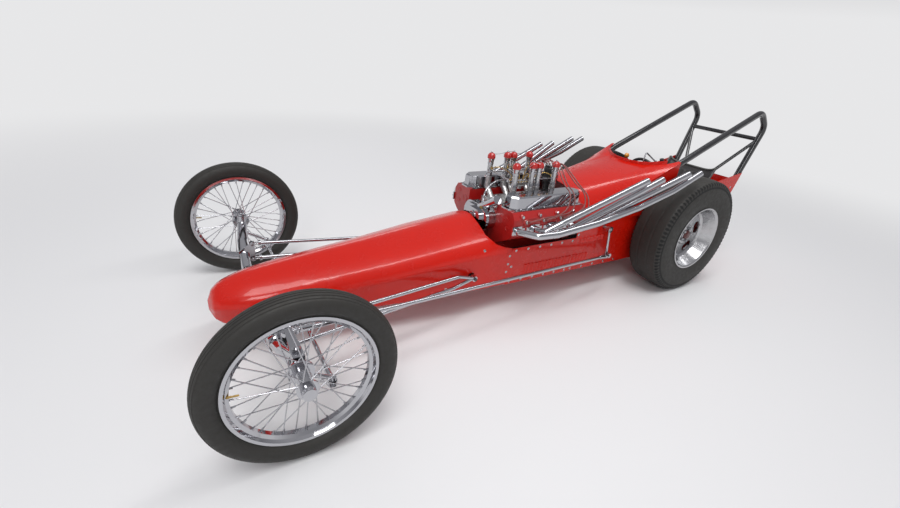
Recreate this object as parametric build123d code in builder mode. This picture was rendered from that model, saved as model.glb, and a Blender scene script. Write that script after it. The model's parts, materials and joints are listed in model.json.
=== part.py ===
"""Front-engined slingshot dragster with a V8, wire front wheels and rear slicks.

Millimetres. +X is forward, +Y is the driver's left, +Z is up. The origin is on the floor,
half way along the car. Places along the car are given as a distance behind the front axle.
"""
import os
from math import cos, radians, sin

from build123d import *

os.makedirs("parts", exist_ok=True)

# Wheels and stance
wheelbase = 2480.0
front_track = 1444.0
rear_track = 776.0
front_tyre_radius = 318.0
front_tyre_width = 86.0
front_rim_radius = 243.5
front_rim_width = 54.0
rear_tyre_radius = 369.0
rear_tyre_width = 226.0
rear_rim_radius = 203.5
rear_rim_width = 218.0
shaft_gap = 0.05

# Body sheet and half widths: the body fills the room between the rear tyres
sheet = 3.0
body_gap = 25.0
side_lean = 18.0
belly_up = 155.0
sill_up = 381.0
sill_half = rear_track / 2 - rear_tyre_width / 2 - body_gap
belly_half = sill_half - side_lean

# Stations behind the front axle: a longer wheelbase stretches the nose
engine_front = wheelbase - 1337.0
engine_rear = engine_front + 512.0
bay_front = engine_front - 83.0
cowl_end = engine_front + 57.0
side_end = engine_rear + 10.0
scuttle_front = engine_rear + 5.0
scuttle_end = wheelbase - 60.0
tail_start = wheelbase + 220.0
tail_end = wheelbase + 745.0
tail_foot = wheelbase + 480.0

# Roll hoops, in side view: distance behind the front axle and height of each corner
hoop_tube = 20.0
hoop_left = sill_half
hoop_foot = (wheelbase - 680.0, 487.0)
hoop_knee = (wheelbase - 40.0, 783.0)
hoop_top = (wheelbase + 734.0, 1114.0)
hoop_back = (wheelbase + 848.0, 1010.0)
hoop_end = (wheelbase + 672.0, 476.0)
leg_lean = 12.0
hoop_bend = 75.0
hoop_bar_up = 928.0
with BuildLine() as hoop_side_view:
    FilletPolyline(hoop_knee, hoop_top, hoop_back, hoop_end, radius=hoop_bend)

# The car reaches from the front tyres to the back of the hoops
overall_length = front_tyre_radius + hoop_side_view.line.bounding_box().max.X + hoop_tube
front_x = overall_length / 2 - front_tyre_radius
rear_x = front_x - wheelbase

# Chassis tubes
rail_radius = 17.0
brace_radius = 11.0
rail_half = sill_half - 37.6
rail_nose_half = 92.0
rail_bay_up = 352.0
rail_high = 452.0
fit_gap = 0.3
rail_low = belly_up + sheet + rail_radius + fit_gap

# Front axle and steering
axle_radius = 25.0
axle_low = 200.0
axle_ahead = 32.0
kingpin_half = 632.0
kingpin_radius = 11.0
boss_radius = 20.0
boss_height = 70.0
ear_gap = 0.3
ear_thick = 12.0
steer_arm = 146.0
tie_arm = 118.0
tie_up = 186.0
rod_radius = 9.0
spindle_radius = 12.0
pitman_pivot = (wheelbase - 595.0, 426.0)
pitman_eye = (wheelbase - 565.0, 258.0)
pitman_left = sill_half + 42.0
pitman_shaft = 8.0
pin_play = 7.0

# Engine
crank_up = 300.0
deck_up = 470.0
head_top = 592.0
head_outer = 285.0
cover_height = 70.0
cover_inner, cover_outer = 143.0, 246.0
stack_left = 114.0
stack_behind = [engine_front + step for step in (105.0, 218.0, 263.0, 380.0)]
stack_radius = 15.0
stack_top = 772.0
pipe_radius = 17.5


def place(behind, left, up):
    """Point given as a distance behind the front axle, to the left and above the floor."""
    return (front_x - behind, left, up)


def save(piece, name):
    """Label a finished piece and write its file."""
    piece.part.label = name
    export_step(piece.part, f"parts/{name}.step")


def tube(points, radius, bends=None):
    """Round bar along straight runs, with arcs of the given radii at its corners."""
    with BuildLine() as path:
        if bends is None:
            Polyline(*points)
        else:
            FilletPolyline(*points, radius=bends)
    with BuildSketch(Plane(origin=path.line @ 0, z_dir=path.line % 0)) as section:
        Circle(radius)
    sweep(section.sketch, path=path.line)


def rod(start, end, radius):
    """Straight round bar between two points."""
    run = Vector(*end) - Vector(*start)
    with Locations(Plane(origin=start, z_dir=run).location):
        Cylinder(radius, run.length, align=(Align.CENTER, Align.CENTER, Align.MIN))


def boss(centre, direction, radius, length, mode=Mode.ADD):
    """Short round boss, or with Mode.SUBTRACT a hole, centred on a point along a direction."""
    with Locations(Plane(origin=centre, z_dir=direction).location):
        Cylinder(radius, length, mode=mode)


def block(low, high, mode=Mode.ADD):
    """Rectangular block between two opposite corners."""
    size = Vector(*high) - Vector(*low)
    middle = (Vector(*high) + Vector(*low)) * 0.5
    with Locations(middle):
        Box(abs(size.X), abs(size.Y), abs(size.Z), mode=mode)


def mirrored(piece):
    """The same piece on the other side of the car."""
    with BuildPart() as other:
        add(piece.part.mirror(Plane.XZ))
    return other


def save_pair(piece, name):
    """Write a left-hand piece and its mirror image."""
    other = mirrored(piece)
    save(piece, f"{name}_left")
    save(other, f"{name}_right")


def wheel_plane(x, y, radius):
    """Plane of a wheel's half section: local x points outboard on the left, local y up."""
    return Plane(origin=(x, y, radius), x_dir=(0, 1, 0), z_dir=(1, 0, 0))


# Front tyre: rounded walls and tread, open towards the rim
front_y = front_track / 2
front_hub = (front_x, front_y, front_tyre_radius)
with BuildPart() as tyre_front:
    with BuildSketch(wheel_plane(*front_hub)):
        with BuildLine():
            toe, heel = front_rim_radius - 7, front_rim_radius + 3
            inside = front_rim_width / 2 - 4.5
            tread = (front_tyre_width * 0.36, front_tyre_radius - 9)
            side = (front_tyre_width / 2, (heel + front_tyre_radius) / 2 - 2)
            Line((inside, toe), (inside, heel))
            ThreePointArc((inside, heel), side, tread)
            ThreePointArc(tread, (0, front_tyre_radius), (-tread[0], tread[1]))
            ThreePointArc((-tread[0], tread[1]), (-side[0], side[1]), (-inside, heel))
            Line((-inside, heel), (-inside, toe))
            Polyline((-inside, toe), (6 - inside, toe), (6 - inside, heel + 4))
            roof = front_tyre_radius - 16
            Polyline((6 - inside, heel + 4), (6 - inside, roof), (inside - 6, roof),
                     (inside - 6, toe), (inside, toe))
        make_face()
    revolve(axis=Axis(front_hub, (0, 1, 0)))
save_pair(tyre_front, "tyre_front")

# Wire wheel: rim, hub with two flanges, and tangent spokes
hub_inner, hub_outer = kingpin_half + 42, front_y + 81
flange_inner, flange_outer = front_y - 34, front_y + 52
spoke_count = 36
with BuildPart() as wire_wheel:
    with BuildSketch(wheel_plane(*front_hub)):
        with BuildLine():
            lip = front_rim_width / 2
            r = front_rim_radius
            outline = [(lip, r), (lip, r - 11), (lip - 11, r - 17), (9, r - 28), (-9, r - 28)]
            outline += [(11 - lip, r - 17), (-lip, r - 11), (-lip, r), (4 - lip, r)]
            outline += [(4 - lip, r - 8), (13 - lip, r - 13), (-7, r - 24), (7, r - 24)]
            outline += [(lip - 13, r - 13), (lip - 4, r - 8), (lip - 4, r)]
            Polyline(*outline, close=True)
        make_face()
    revolve(axis=Axis(front_hub, (0, 1, 0)))
    with BuildSketch(wheel_plane(front_x, 0, front_tyre_radius)):
        with BuildLine():
            Polyline(
                (hub_inner, 0), (hub_inner, 40), (flange_inner - 4, 44), (flange_inner + 4, 44),
                (flange_inner + 4, 27), (flange_outer - 4, 25), (flange_outer - 4, 36),
                (flange_outer + 3, 36), (flange_outer + 3, 24), (hub_outer, 22), (hub_outer, 0),
                close=True,
            )
        make_face()
    revolve(axis=Axis(front_hub, (0, 1, 0)))
    for number in range(spoke_count):
        outer = number % 2 == 0
        lean = 38 if number % 4 < 2 else -38
        turn = 360 / spoke_count * number
        hub_r = 32 if outer else 40
        hub_y = flange_outer if outer else flange_inner
        rim_y = front_y + (4 if outer else -4)
        rim_r = front_rim_radius - 26
        start = (
            front_x + hub_r * cos(radians(turn + lean)),
            hub_y,
            front_tyre_radius + hub_r * sin(radians(turn + lean)),
        )
        end = (
            front_x + rim_r * cos(radians(turn)),
            rim_y,
            front_tyre_radius + rim_r * sin(radians(turn)),
        )
        rod(start, end, 2.0)
    boss(
        (front_x, (hub_inner + hub_outer - 22) / 2, front_tyre_radius), (0, 1, 0),
        spindle_radius + shaft_gap, hub_outer - 22 - hub_inner, mode=Mode.SUBTRACT,
    )
save_pair(wire_wheel, "wire_wheel")

# Knuckle: two ears on the kingpin, the spindle, and the tie rod arm
ear_low = front_tyre_radius - boss_height / 2 - ear_gap - ear_thick
ear_high = front_tyre_radius + boss_height / 2 + ear_gap
web_y = kingpin_half + boss_radius + 3
tie_eye = (front_x - tie_arm, kingpin_half)
drag_eye = (front_x, kingpin_half - steer_arm)


def arm(start, end, root, tip, low, thick):
    """Flat tapered arm between two points in plan."""
    with BuildSketch(Plane.XY.offset(low)) as outline:
        with Locations(start):
            Circle(root)
        with Locations(end):
            Circle(tip)
        make_hull()
    extrude(outline.sketch, amount=thick)


def knuckle(with_drag_arm):
    """Left-hand knuckle with its dropped tie rod arm; only the left one has a drag link arm."""
    with BuildPart() as piece:
        for low in (ear_low, ear_high):
            block(
                (front_x - boss_radius, kingpin_half, low),
                (front_x + boss_radius, web_y + 14, low + ear_thick),
            )
            boss((front_x, kingpin_half, low + ear_thick / 2), (0, 0, 1), boss_radius, ear_thick)
        block(
            (front_x - boss_radius, web_y, ear_low),
            (front_x + boss_radius, web_y + 14, ear_high + ear_thick),
        )
        boss((front_x, kingpin_half, (ear_low + ear_high + ear_thick) / 2), (0, 0, 1),
             kingpin_radius, ear_high + ear_thick - ear_low)
        rod((front_x, web_y, front_tyre_radius), (front_x, hub_inner - 0.5, front_tyre_radius), 20)
        rod((front_x, web_y, front_tyre_radius), (front_x, hub_outer - 30, front_tyre_radius),
            spindle_radius)
        rod((front_x, kingpin_half, ear_low + 2), (*tie_eye, tie_up + 20), rod_radius)
        boss((*tie_eye, tie_up + 20), (0, 0, 1), 13, 14)
        rod((*tie_eye, tie_up + 13), (*tie_eye, tie_up - 12), 5)
        if with_drag_arm:
            arm((front_x, kingpin_half), drag_eye, 20, 11, ear_high, ear_thick)
            rod((*drag_eye, ear_high), (*drag_eye, ear_high - 26), 5)
    return piece


save(knuckle(True), "knuckle_left")
save(mirrored(knuckle(False)), "knuckle_right")

# Tie rod, with an eye round each arm's pin
with BuildPart() as tie_rod:
    for end_y in (tie_eye[1], -tie_eye[1]):
        boss((tie_eye[0], end_y, tie_up), (0, 0, 1), 16, 20)
    rod((tie_eye[0], tie_eye[1], tie_up), (tie_eye[0], -tie_eye[1], tie_up), rod_radius)
    boss((*tie_eye, tie_up), (0, 0, 1), 5 + shaft_gap, 20, mode=Mode.SUBTRACT)
    boss((tie_eye[0], -tie_eye[1], tie_up), (0, 0, 1), 5 + 2, 20, mode=Mode.SUBTRACT)
save(tie_rod, "tie_rod")

# Pitman arm on the steering box's cross shaft, and the long drag link
pitman_top = place(pitman_pivot[0], pitman_left, pitman_pivot[1])
pitman_low = place(pitman_eye[0], pitman_left, pitman_eye[1])
with BuildPart() as pitman_arm:
    boss(pitman_top, (0, 1, 0), 19, 20)
    rod(pitman_top, pitman_low, 8)
    boss(pitman_low, (0, 1, 0), 13, 16)
    boss((pitman_low[0], pitman_left + 17, pitman_low[2]), (0, 1, 0), 6, 20)
    boss(pitman_top, (0, 1, 0), pitman_shaft + shaft_gap, 30, mode=Mode.SUBTRACT)
save(pitman_arm, "pitman_arm")

link_rear = (pitman_low[0], pitman_left + 20, pitman_low[2])
link_front = (drag_eye[0], drag_eye[1], ear_high - 16)
with BuildPart() as drag_link:
    boss(link_rear, (0, 1, 0), 14, 14)
    rod(link_rear, link_front, rod_radius)
    boss(link_front, (0, 0, 1), 20, 16)
    boss(link_rear, (0, 1, 0), 6 + shaft_gap, 20, mode=Mode.SUBTRACT)
    boss(link_front, (0, 0, 1), 5 + pin_play, 20, mode=Mode.SUBTRACT)
save(drag_link, "drag_link")

# Dropped tube axle with a bored boss at each kingpin
bracket_y = 400.0
hairpin_up, hairpin_low = 297.0, 213.0
with BuildPart() as front_axle:
    half = [
        (front_x + axle_ahead, 300, axle_low),
        (front_x + 22, 500, axle_low + 72),
        (front_x + 2, kingpin_half - 14, front_tyre_radius - 4),
    ]
    other = [(x, -y, z) for x, y, z in reversed(half)]
    tube(other + half, axle_radius, [60, 140, 140, 60])
    for side in (1, -1):
        boss((front_x, side * kingpin_half, front_tyre_radius), (0, 0, 1), boss_radius, boss_height)
        boss((front_x, side * kingpin_half, front_tyre_radius), (0, 0, 1),
             kingpin_radius + shaft_gap, boss_height + 10, mode=Mode.SUBTRACT)
        with BuildSketch(Plane.XZ.offset(-side * bracket_y)):
            with BuildLine():
                Polyline(
                    (front_x - 24, hairpin_low - 14), (front_x + 52, axle_low + 10),
                    (front_x + 52, axle_low + 60), (front_x - 24, hairpin_up + 14), close=True,
                )
            make_face()
        extrude(amount=4, both=True)
        for up in (hairpin_up, hairpin_low):
            boss((front_x - 12, side * bracket_y, up), (0, 1, 0), 6, 40)
save(front_axle, "front_axle")

# Hairpin radius rod: two legs that meet at the frame pivot
pivot_behind = bay_front - 102.0
pivot_left, pivot_up = sill_half + 12.0, 258.0
with BuildPart() as hairpin:
    pivot = place(pivot_behind, pivot_left, pivot_up)
    for up, knee_ahead, knee_up in ((hairpin_up, 96, 288), (hairpin_low, 123, 228)):
        start = (front_x - 12, bracket_y, up)
        knee = place(pivot_behind - knee_ahead, pivot_left + 9, knee_up)
        tube([(start[0] - 36, bracket_y - 3, up), knee, pivot], rod_radius, [40])
        for side in (11, -11):
            boss((start[0], bracket_y + side, up), (0, 1, 0), 11, 7)
            rod((start[0], bracket_y + side, up), (start[0] - 36, bracket_y + side, up), 3.4)
        boss((start[0] - 36, bracket_y, up), (1, 0, 0), 15, 12)
    boss(pivot, (0, 1, 0), 15, 26)
    for up in (hairpin_up, hairpin_low):
        boss((front_x - 12, bracket_y, up), (0, 1, 0), 6 + 0.3, 60, mode=Mode.SUBTRACT)
    boss(pivot, (0, 1, 0), 8.3, 40, mode=Mode.SUBTRACT)
save_pair(hairpin, "hairpin")

# Frame sides: two rails each side with uprights, a diagonal and the hairpin pivot
nose_high, nose_low = -20.0, 30.0
nose_high_up, nose_low_up = 288.0, 228.0
tail_rail = wheelbase + 450.0
rail_end = wheelbase + 640.0
rail_step = engine_rear + 45.0
uprights = (
    (bay_front + 40, rail_bay_up), (rail_step, rail_bay_up), (wheelbase - 230, rail_high),
    (wheelbase + 320, rail_high),
)
with BuildPart() as frame_sides:
    for side in (1, -1):
        left = side * rail_half
        tube(
            [
                place(nose_low, side * rail_nose_half, nose_low_up), place(bay_front, left, rail_low),
                place(tail_rail, left, rail_low), place(rail_end, left, rail_high),
            ],
            rail_radius, [300, 120],
        )
        tube(
            [
                place(nose_high, side * rail_nose_half, nose_high_up),
                place(bay_front, left, rail_bay_up), place(rail_step, left, rail_bay_up),
                place(rail_step + 160, left, rail_high), place(rail_end, left, rail_high),
            ],
            rail_radius, [300, 100, 100],
        )
        for behind, high in uprights:
            rod(place(behind, left, rail_low), place(behind, left, high), brace_radius)
        rod(place(rail_step + 20, left, rail_low), place(wheelbase - 250, left, rail_high), brace_radius)
        for behind in (0.38 * bay_front, pivot_behind):
            low_share = (behind - nose_low) / (bay_front - nose_low)
            high_share = (behind - nose_high) / (bay_front - nose_high)
            out = side * (rail_nose_half + low_share * (rail_half - rail_nose_half))
            low = nose_low_up + low_share * (rail_low - nose_low_up)
            high = nose_high_up + high_share * (rail_bay_up - nose_high_up)
            rod(place(behind, out, low), place(behind, out, high), brace_radius)
        rod(place(pivot_behind, out, pivot_up), place(pivot_behind, side * (pivot_left + 22), pivot_up), 8)
save(frame_sides, "frame_sides")

# Cross tubes between the two frame sides
#    behind, up, half width between the rails' middles
cross_rows = (
    (nose_low, nose_low_up, rail_nose_half), (nose_high, nose_high_up, rail_nose_half),
    (bay_front + 40, rail_low, rail_half), (rail_step + 190, rail_low, rail_half),
    (wheelbase - 230, rail_high, rail_half), (wheelbase + 320, rail_low, rail_half),
    (wheelbase + 320, rail_high, rail_half), (wheelbase + 510, rail_high, rail_half),
    (rail_end, rail_high, rail_half),
)
with BuildPart() as cross_tubes:
    for behind, up, half in cross_rows:
        reach = half - rail_radius - fit_gap
        rod(place(behind, -reach, up), place(behind, reach, up), brace_radius)
save(cross_tubes, "cross_tubes")

# Roll hoops: one loop each side of the driver, a cross bar, a V brace, and feet on the rails
bar_share = (hoop_back[1] - hoop_bar_up) / (hoop_back[1] - hoop_end[1])
bar_behind = hoop_back[0] - bar_share * (hoop_back[0] - hoop_end[0])
rail_top = rail_high + rail_radius
strut_behind = rail_step + 200
leg_rise = (hoop_knee[1] - hoop_foot[1]) / (hoop_knee[0] - hoop_foot[0])
strut_up = hoop_foot[1] + leg_rise * (strut_behind - hoop_foot[0])
with BuildPart() as roll_hoops:
    for side in (1, -1):
        left = side * hoop_left
        tube(
            [
                place(hoop_foot[0], side * rail_half, hoop_foot[1]),
                place(hoop_knee[0], left, hoop_knee[1]), place(hoop_top[0], left, hoop_top[1]),
                place(hoop_back[0], left, hoop_back[1]),
                place(hoop_end[0], side * (hoop_left - leg_lean), hoop_end[1]),
            ],
            hoop_tube, [200, hoop_bend, hoop_bend],
        )
        rod(place(bar_behind, left, hoop_bar_up), place(wheelbase + 512, side * 4, 470), 11)
        rod(place(strut_behind, side * rail_half, rail_top), place(strut_behind, side * rail_half, strut_up),
            brace_radius)
        block(place(hoop_end[0] - 72, side * rail_half, rail_top),
              place(hoop_end[0] - 10, side * (rail_half + 40), rail_top + 30))
    rod(place(bar_behind, -hoop_left, hoop_bar_up), place(bar_behind, hoop_left, hoop_bar_up), 14)
save(roll_hoops, "roll_hoops")


# Nose cowl: ridge, side crease and belly of each section, from the tip to the engine bay
#    behind, ridge up, crease half, crease up, belly half, belly up, belly corner
cowl_sections = (
    (-226, 240, 24, 222, 18, 205, 5),
    (-205, 288, 78, 240, 60, 168, 22),
    (-160, 322, 112, 252, 94, 148, 34),
    (-60, 354, 146, 268, 128, 146, 36),
    (120, 383, 174, 284, 156, 148, 30),
    (480, 432, 210, 314, 192, 151, 20),
    (bay_front, 508, sill_half, sill_up, belly_half, belly_up, 10),
    (cowl_end, 521, sill_half, sill_up, belly_half, belly_up, 10),
)
# How far back each further section lies, as a share of the way between two rows above
cowl_shares = ((0, 0.35, 0.7), (0, 0.5), (0, 0.5), (0, 0.5), (0, 0.5), (0, 0.5), (0,), (0,))


def between(table, row, share):
    """Smooth values between two rows of a section table, without swinging past them."""
    def slope(at, column):
        if at in (0, len(table) - 1):
            low, high = (table[0], table[1]) if at == 0 else (table[at - 1], table[at])
            return (high[column] - low[column]) / (high[0] - low[0])
        before = (table[at][column] - table[at - 1][column]) / (table[at][0] - table[at - 1][0])
        after = (table[at + 1][column] - table[at][column]) / (table[at + 1][0] - table[at][0])
        return 0.0 if before * after <= 0 else 2 * before * after / (before + after)

    if share == 0:
        return table[row]
    step = table[row + 1][0] - table[row][0]
    values = [table[row][0] + share * step]
    for column in range(1, len(table[0])):
        rise = table[row + 1][column] - table[row][column]
        start, end = slope(row, column) * step, slope(row + 1, column) * step
        values.append(
            table[row][column] + share * start + share ** 2 * (3 * rise - 2 * start - end)
            + share ** 3 * (start + end - 2 * rise)
        )
    return values


def cowl_outline(ridge, half, crease, low_half, low, corner, inset):
    """One closed section of the cowl, shrunk by the sheet's thickness for its inside."""
    ridge, half, low_half, low = ridge - inset, half - inset, low_half - inset, low + inset
    rise = ridge - crease

    def spot(side, across, height):
        return (side * half * across, crease + rise * height)

    with BuildLine() as outline:
        Line((corner - low_half, low), (low_half - corner, low))
        for side in (1, -1):
            foot = (side * (low_half - corner), low)
            turn = (side * (low_half - 0.27 * corner), low + 0.27 * corner)
            wall = (side * (low_half + 0.04 * corner), low + corner)
            ThreePointArc(foot, turn, wall)
            Line(wall, spot(side, 1, -0.18))
            ThreePointArc(spot(side, 1, -0.18), spot(side, 0.932, 0.159), spot(side, 0.8, 0.42))
            ThreePointArc(spot(side, 0.8, 0.42), spot(side, 0.494, 0.732), spot(side, 0.13, 0.975))
        ThreePointArc(spot(1, 0.13, 0.975), (0, ridge), spot(-1, 0.13, 0.975))
    make_face(outline.edges())


def cross_plane(behind):
    """Plane across the car: local x to the left, local y up, looking forward."""
    return Plane(origin=(front_x - behind, 0, 0), x_dir=(0, 1, 0), z_dir=(1, 0, 0))


cowl_slices = [
    between(cowl_sections, row, share) for row, shares in enumerate(cowl_shares) for share in shares
]
with BuildPart() as nose_cowl:
    for inset, mode in ((0, Mode.ADD), (sheet, Mode.SUBTRACT)):
        for number, (behind, *outline) in enumerate(cowl_slices):
            past = inset if number == 0 else 0
            if number == len(cowl_slices) - 1:
                past = inset * sheet
            with BuildSketch(cross_plane(behind + past)):
                cowl_outline(*outline, inset)
        loft(ruled=True, mode=mode)
    with BuildSketch(Plane.XZ.offset(-400)):
        with BuildLine():
            notch = [(-78, 100), (-78, 236), (160, 236), (160, 100)]
            Polyline(*[(front_x - behind, up) for behind, up in notch], close=True)
        make_face()
        with BuildLine():
            cheek = [(bay_front, 600), (bay_front, 450), (bay_front + 40, 412), (bay_front + 90, 392),
                     (cowl_end, sill_up), (cowl_end + 50, sill_up), (cowl_end + 50, 600)]
            Polyline(*[(front_x - behind, up) for behind, up in cheek], close=True)
        make_face()
    extrude(amount=800, mode=Mode.SUBTRACT)
    for side in (1, -1):
        boss(place(pivot_behind, side * sill_half, pivot_up), (0, 1, 0), 19, 60, mode=Mode.SUBTRACT)
save(nose_cowl, "nose_cowl")

# Tub: the body sides lean in to the belly and close in a rising tail
tub_top = 720.0
tail_top_up = 694.0
tail_flare = 18.0
louvre_pitch, louvre_width, louvre_depth = 26.0, 20.0, 9.0
#    behind, half width at the sill, half width at the belly
tub_sections = (
    (cowl_end, sill_half, belly_half),
    (tail_start, sill_half, belly_half),
    (tail_end, sill_half + tail_flare, belly_half + tail_flare),
)


def side_wall(outline, louvre_rows, holes=()):
    """One left-hand sheet of the tub, trimmed to an outline in side view."""
    with BuildPart() as piece:
        for behind, half, low_half in tub_sections:
            with BuildSketch(cross_plane(behind)):
                with BuildLine():
                    Polyline(
                        (low_half, belly_up), (half, sill_up), (half, tub_top),
                        (half - sheet, tub_top), (half - sheet, sill_up), (low_half - sheet, belly_up),
                        close=True,
                    )
                make_face()
        loft(ruled=True)
        with BuildSketch(Plane.XZ.offset(-400)):
            with BuildLine():
                Polyline(*[(front_x - behind, up) for behind, up in outline], close=True)
            make_face()
        extrude(amount=400, mode=Mode.INTERSECT)
        for behind, up, radius in holes:
            boss(place(behind, sill_half, up), (0, 1, 0), radius, 60, mode=Mode.SUBTRACT)
        for row in louvre_rows:
            louvres(*row)
    return piece


def louvres(first, count, low, high):
    """Row of pressed louvres on the left-hand side, each open to the rear."""
    wall = Vector(0, side_lean, sill_up - belly_up).normalized() if high <= sill_up else Vector(0, 0, 1)
    out = belly_half + side_lean * min(1, (low - belly_up) / (sill_up - belly_up))
    plane = Plane(origin=place(first, out, low), x_dir=(-1, 0, 0), z_dir=wall)
    with BuildSketch(plane) as row:
        for number in range(count):
            with BuildLine():
                start = number * louvre_pitch
                Polyline((start, 1), (start + louvre_width, 1), (start + louvre_width, -louvre_depth),
                         (start + louvre_width - 5, -louvre_depth), close=True)
            make_face()
    extrude(row.sketch, amount=high - low)


#    louvre rows: first one behind the front axle, count, low and high end
side_panel = side_wall(
    [(cowl_end, belly_up), (cowl_end, sill_up), (side_end, sill_up), (side_end, belly_up)],
    [(cowl_end + 102, 14, 205, 266)],
)
save_pair(side_panel, "side_panel")
tail_edge = [(tail_end - 19, 640), (tail_end - 52, 540), (tail_end - 75, 470), (tail_end - 100, 400)]
cockpit_side = side_wall(
    [(side_end, belly_up), (side_end, 445), (side_end + 24, 469), (wheelbase - 190, 469),
     (scuttle_end, 520), (tail_start, 575), (tail_start + 200, 632), (tail_end - 1, tail_top_up),
     *tail_edge, (tail_foot, belly_up)],
    [(side_end + 8, 5, 205, 266), (side_end + 27, 8, 346, 378)],
    [(pitman_pivot[0], pitman_pivot[1], 12), (wheelbase, rear_tyre_radius, 45)],
)
save_pair(cockpit_side, "cockpit_side")

# Belly pan and the rising tail pan, cut to fit between the sides
with BuildPart() as belly_pan:
    with BuildSketch(Plane.XZ.offset(-400)):
        with BuildLine():
            pan = [(cowl_end, belly_up), (tail_foot, belly_up), *reversed(tail_edge)]
            pan += [(behind - sheet, up + 1) for behind, up in tail_edge]
            pan += [(tail_foot - 2, belly_up + sheet), (cowl_end, belly_up + sheet)]
            Polyline(*[(front_x - behind, up) for behind, up in pan], close=True)
        make_face()
    extrude(amount=800)
    with BuildPart(mode=Mode.INTERSECT):
        for behind, half, low_half in tub_sections:
            half, low_half = half - sheet, low_half - sheet
            with BuildSketch(cross_plane(behind)):
                with BuildLine():
                    Polyline((-low_half, belly_up), (-half, sill_up), (-half, tub_top), (half, tub_top),
                             (half, sill_up), (low_half, belly_up), close=True)
                make_face()
        loft(ruled=True)
    for side in (1, -1):
        leg_inner = side * (hoop_left - leg_lean - hoop_tube - 3)
        block(place(tail_end - 110, leg_inner, 430), place(tail_end, side * 400, 720), mode=Mode.SUBTRACT)
save(belly_pan, "belly_pan")

# Scuttle: the driver's cowl, whose shoulders lie on the front legs of the hoops
#    behind, crown up, shoulder half, shoulder up
scuttle_sections = (
    (scuttle_front, 655, sill_half - 18, 490),
    (wheelbase - 480, 716, sill_half + 1, 604),
    (wheelbase - 240, 753, sill_half + 13, 718),
    (scuttle_end, 812, sill_half + 24, 800),
)
rim_radius = 266.0


def scuttle_outline(crown, half, shoulder, inset):
    """One closed section of the scuttle, open below once the inside is taken out."""
    foot = rail_high + rail_radius + fit_gap - max(inset, 0) * 20
    crown, half, shoulder = crown - inset, half - inset, shoulder - inset
    haunch = (half * 0.55, shoulder + (crown - shoulder) * 0.86)
    turn = (half * 0.9, shoulder + (crown - shoulder) * 0.42)
    with BuildLine() as outline:
        Line((-half, foot), (half, foot))
        for side in (1, -1):
            Line((side * half, foot), (side * half, shoulder))
            ThreePointArc((side * half, shoulder), (side * turn[0], turn[1]), (side * haunch[0], haunch[1]))
        ThreePointArc(haunch, (0, crown), (-haunch[0], haunch[1]))
    make_face(outline.edges())


# Lip that stands up round the edge of the cockpit
lip_rise, lip_half = 18.0, 225.0
rim_centre = place(wheelbase - 250 + rim_radius, 0, 800)
with BuildPart() as rim_lip:
    for inset, mode in ((-lip_rise, Mode.ADD), (sheet / 2, Mode.SUBTRACT)):
        for behind, *outline in scuttle_sections:
            with BuildSketch(cross_plane(behind)):
                scuttle_outline(*outline, inset)
        loft(ruled=True, mode=mode)
    with Locations(rim_centre):
        Cylinder(rim_radius + sheet, 600, mode=Mode.INTERSECT)
        Cylinder(rim_radius, 600, mode=Mode.SUBTRACT)
        Box(2 * rim_radius + 20, 2 * lip_half, 600, mode=Mode.INTERSECT)

with BuildPart() as scuttle:
    for inset, mode in ((0, Mode.ADD), (sheet, Mode.SUBTRACT)):
        for behind, *outline in scuttle_sections:
            with BuildSketch(cross_plane(behind)):
                scuttle_outline(*outline, inset)
        loft(ruled=True, mode=mode)
    with Locations(rim_centre):
        Cylinder(rim_radius, 600, mode=Mode.SUBTRACT)
    add(rim_lip.part)
save(scuttle, "scuttle")

# Engine block with its sump, bell housing behind
with BuildPart() as engine_block:
    with BuildSketch(cross_plane(engine_rear)):
        with BuildLine():
            Polyline(
                (-150, crank_up - 70), (150, crank_up - 70), (150, 375), (178, 398), (250, deck_up - 30),
                (195, deck_up + 10), (133, deck_up + 30), (95, deck_up + 60), (-95, deck_up + 60),
                (-133, deck_up + 30), (-195, deck_up + 10), (-250, deck_up - 30), (-178, 398),
                (-150, 375), close=True,
            )
        make_face()
    extrude(amount=engine_rear - engine_front)
    for behind in (engine_front + 60, engine_rear - 60):
        boss(place(behind, 0, rail_bay_up), (0, 1, 0), 15, 2 * (rail_half - rail_radius - fit_gap))
save(engine_block, "engine_block")

with BuildPart() as oil_pan:
    block(place(engine_front + 20, -125, belly_up + sheet + 8), place(engine_rear - 10, 125, crank_up - 70))
    fillet(oil_pan.edges().filter_by(Axis.Z), 25)
save(oil_pan, "oil_pan")

with BuildPart() as cylinder_heads:
    for side in (1, -1):
        with BuildSketch(cross_plane(engine_rear)):
            with BuildLine():
                Polyline(
                    *[(side * y, z) for y, z in (
                        (133, deck_up + 30), (133, head_top), (262, head_top), (head_outer, 560),
                        (head_outer, deck_up), (250, deck_up - 30), (195, deck_up + 10))],
                    close=True,
                )
            make_face()
    extrude(amount=engine_rear - engine_front)
save(cylinder_heads, "cylinder_heads")

with BuildPart() as valve_covers:
    length = engine_rear - engine_front
    width = cover_outer - cover_inner
    for side in (1, -1):
        centre = (front_x - (engine_front + engine_rear) / 2, side * (cover_inner + cover_outer) / 2)
        layers = ((0, 7, length, width + 20, 34), (7, cover_height, length - 24, width, 30))
        for low, high, long, wide, cut in layers:
            with BuildSketch(Plane.XY.offset(head_top + low)) as layer:
                with Locations(centre):
                    Rectangle(long, wide)
                chamfer(layer.vertices(), cut)
            extrude(amount=high - low, taper=0 if low == 0 else 3)
    chamfer(valve_covers.faces().group_by(Axis.Z)[-1].edges(), 7)
save(valve_covers, "valve_covers")

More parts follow.
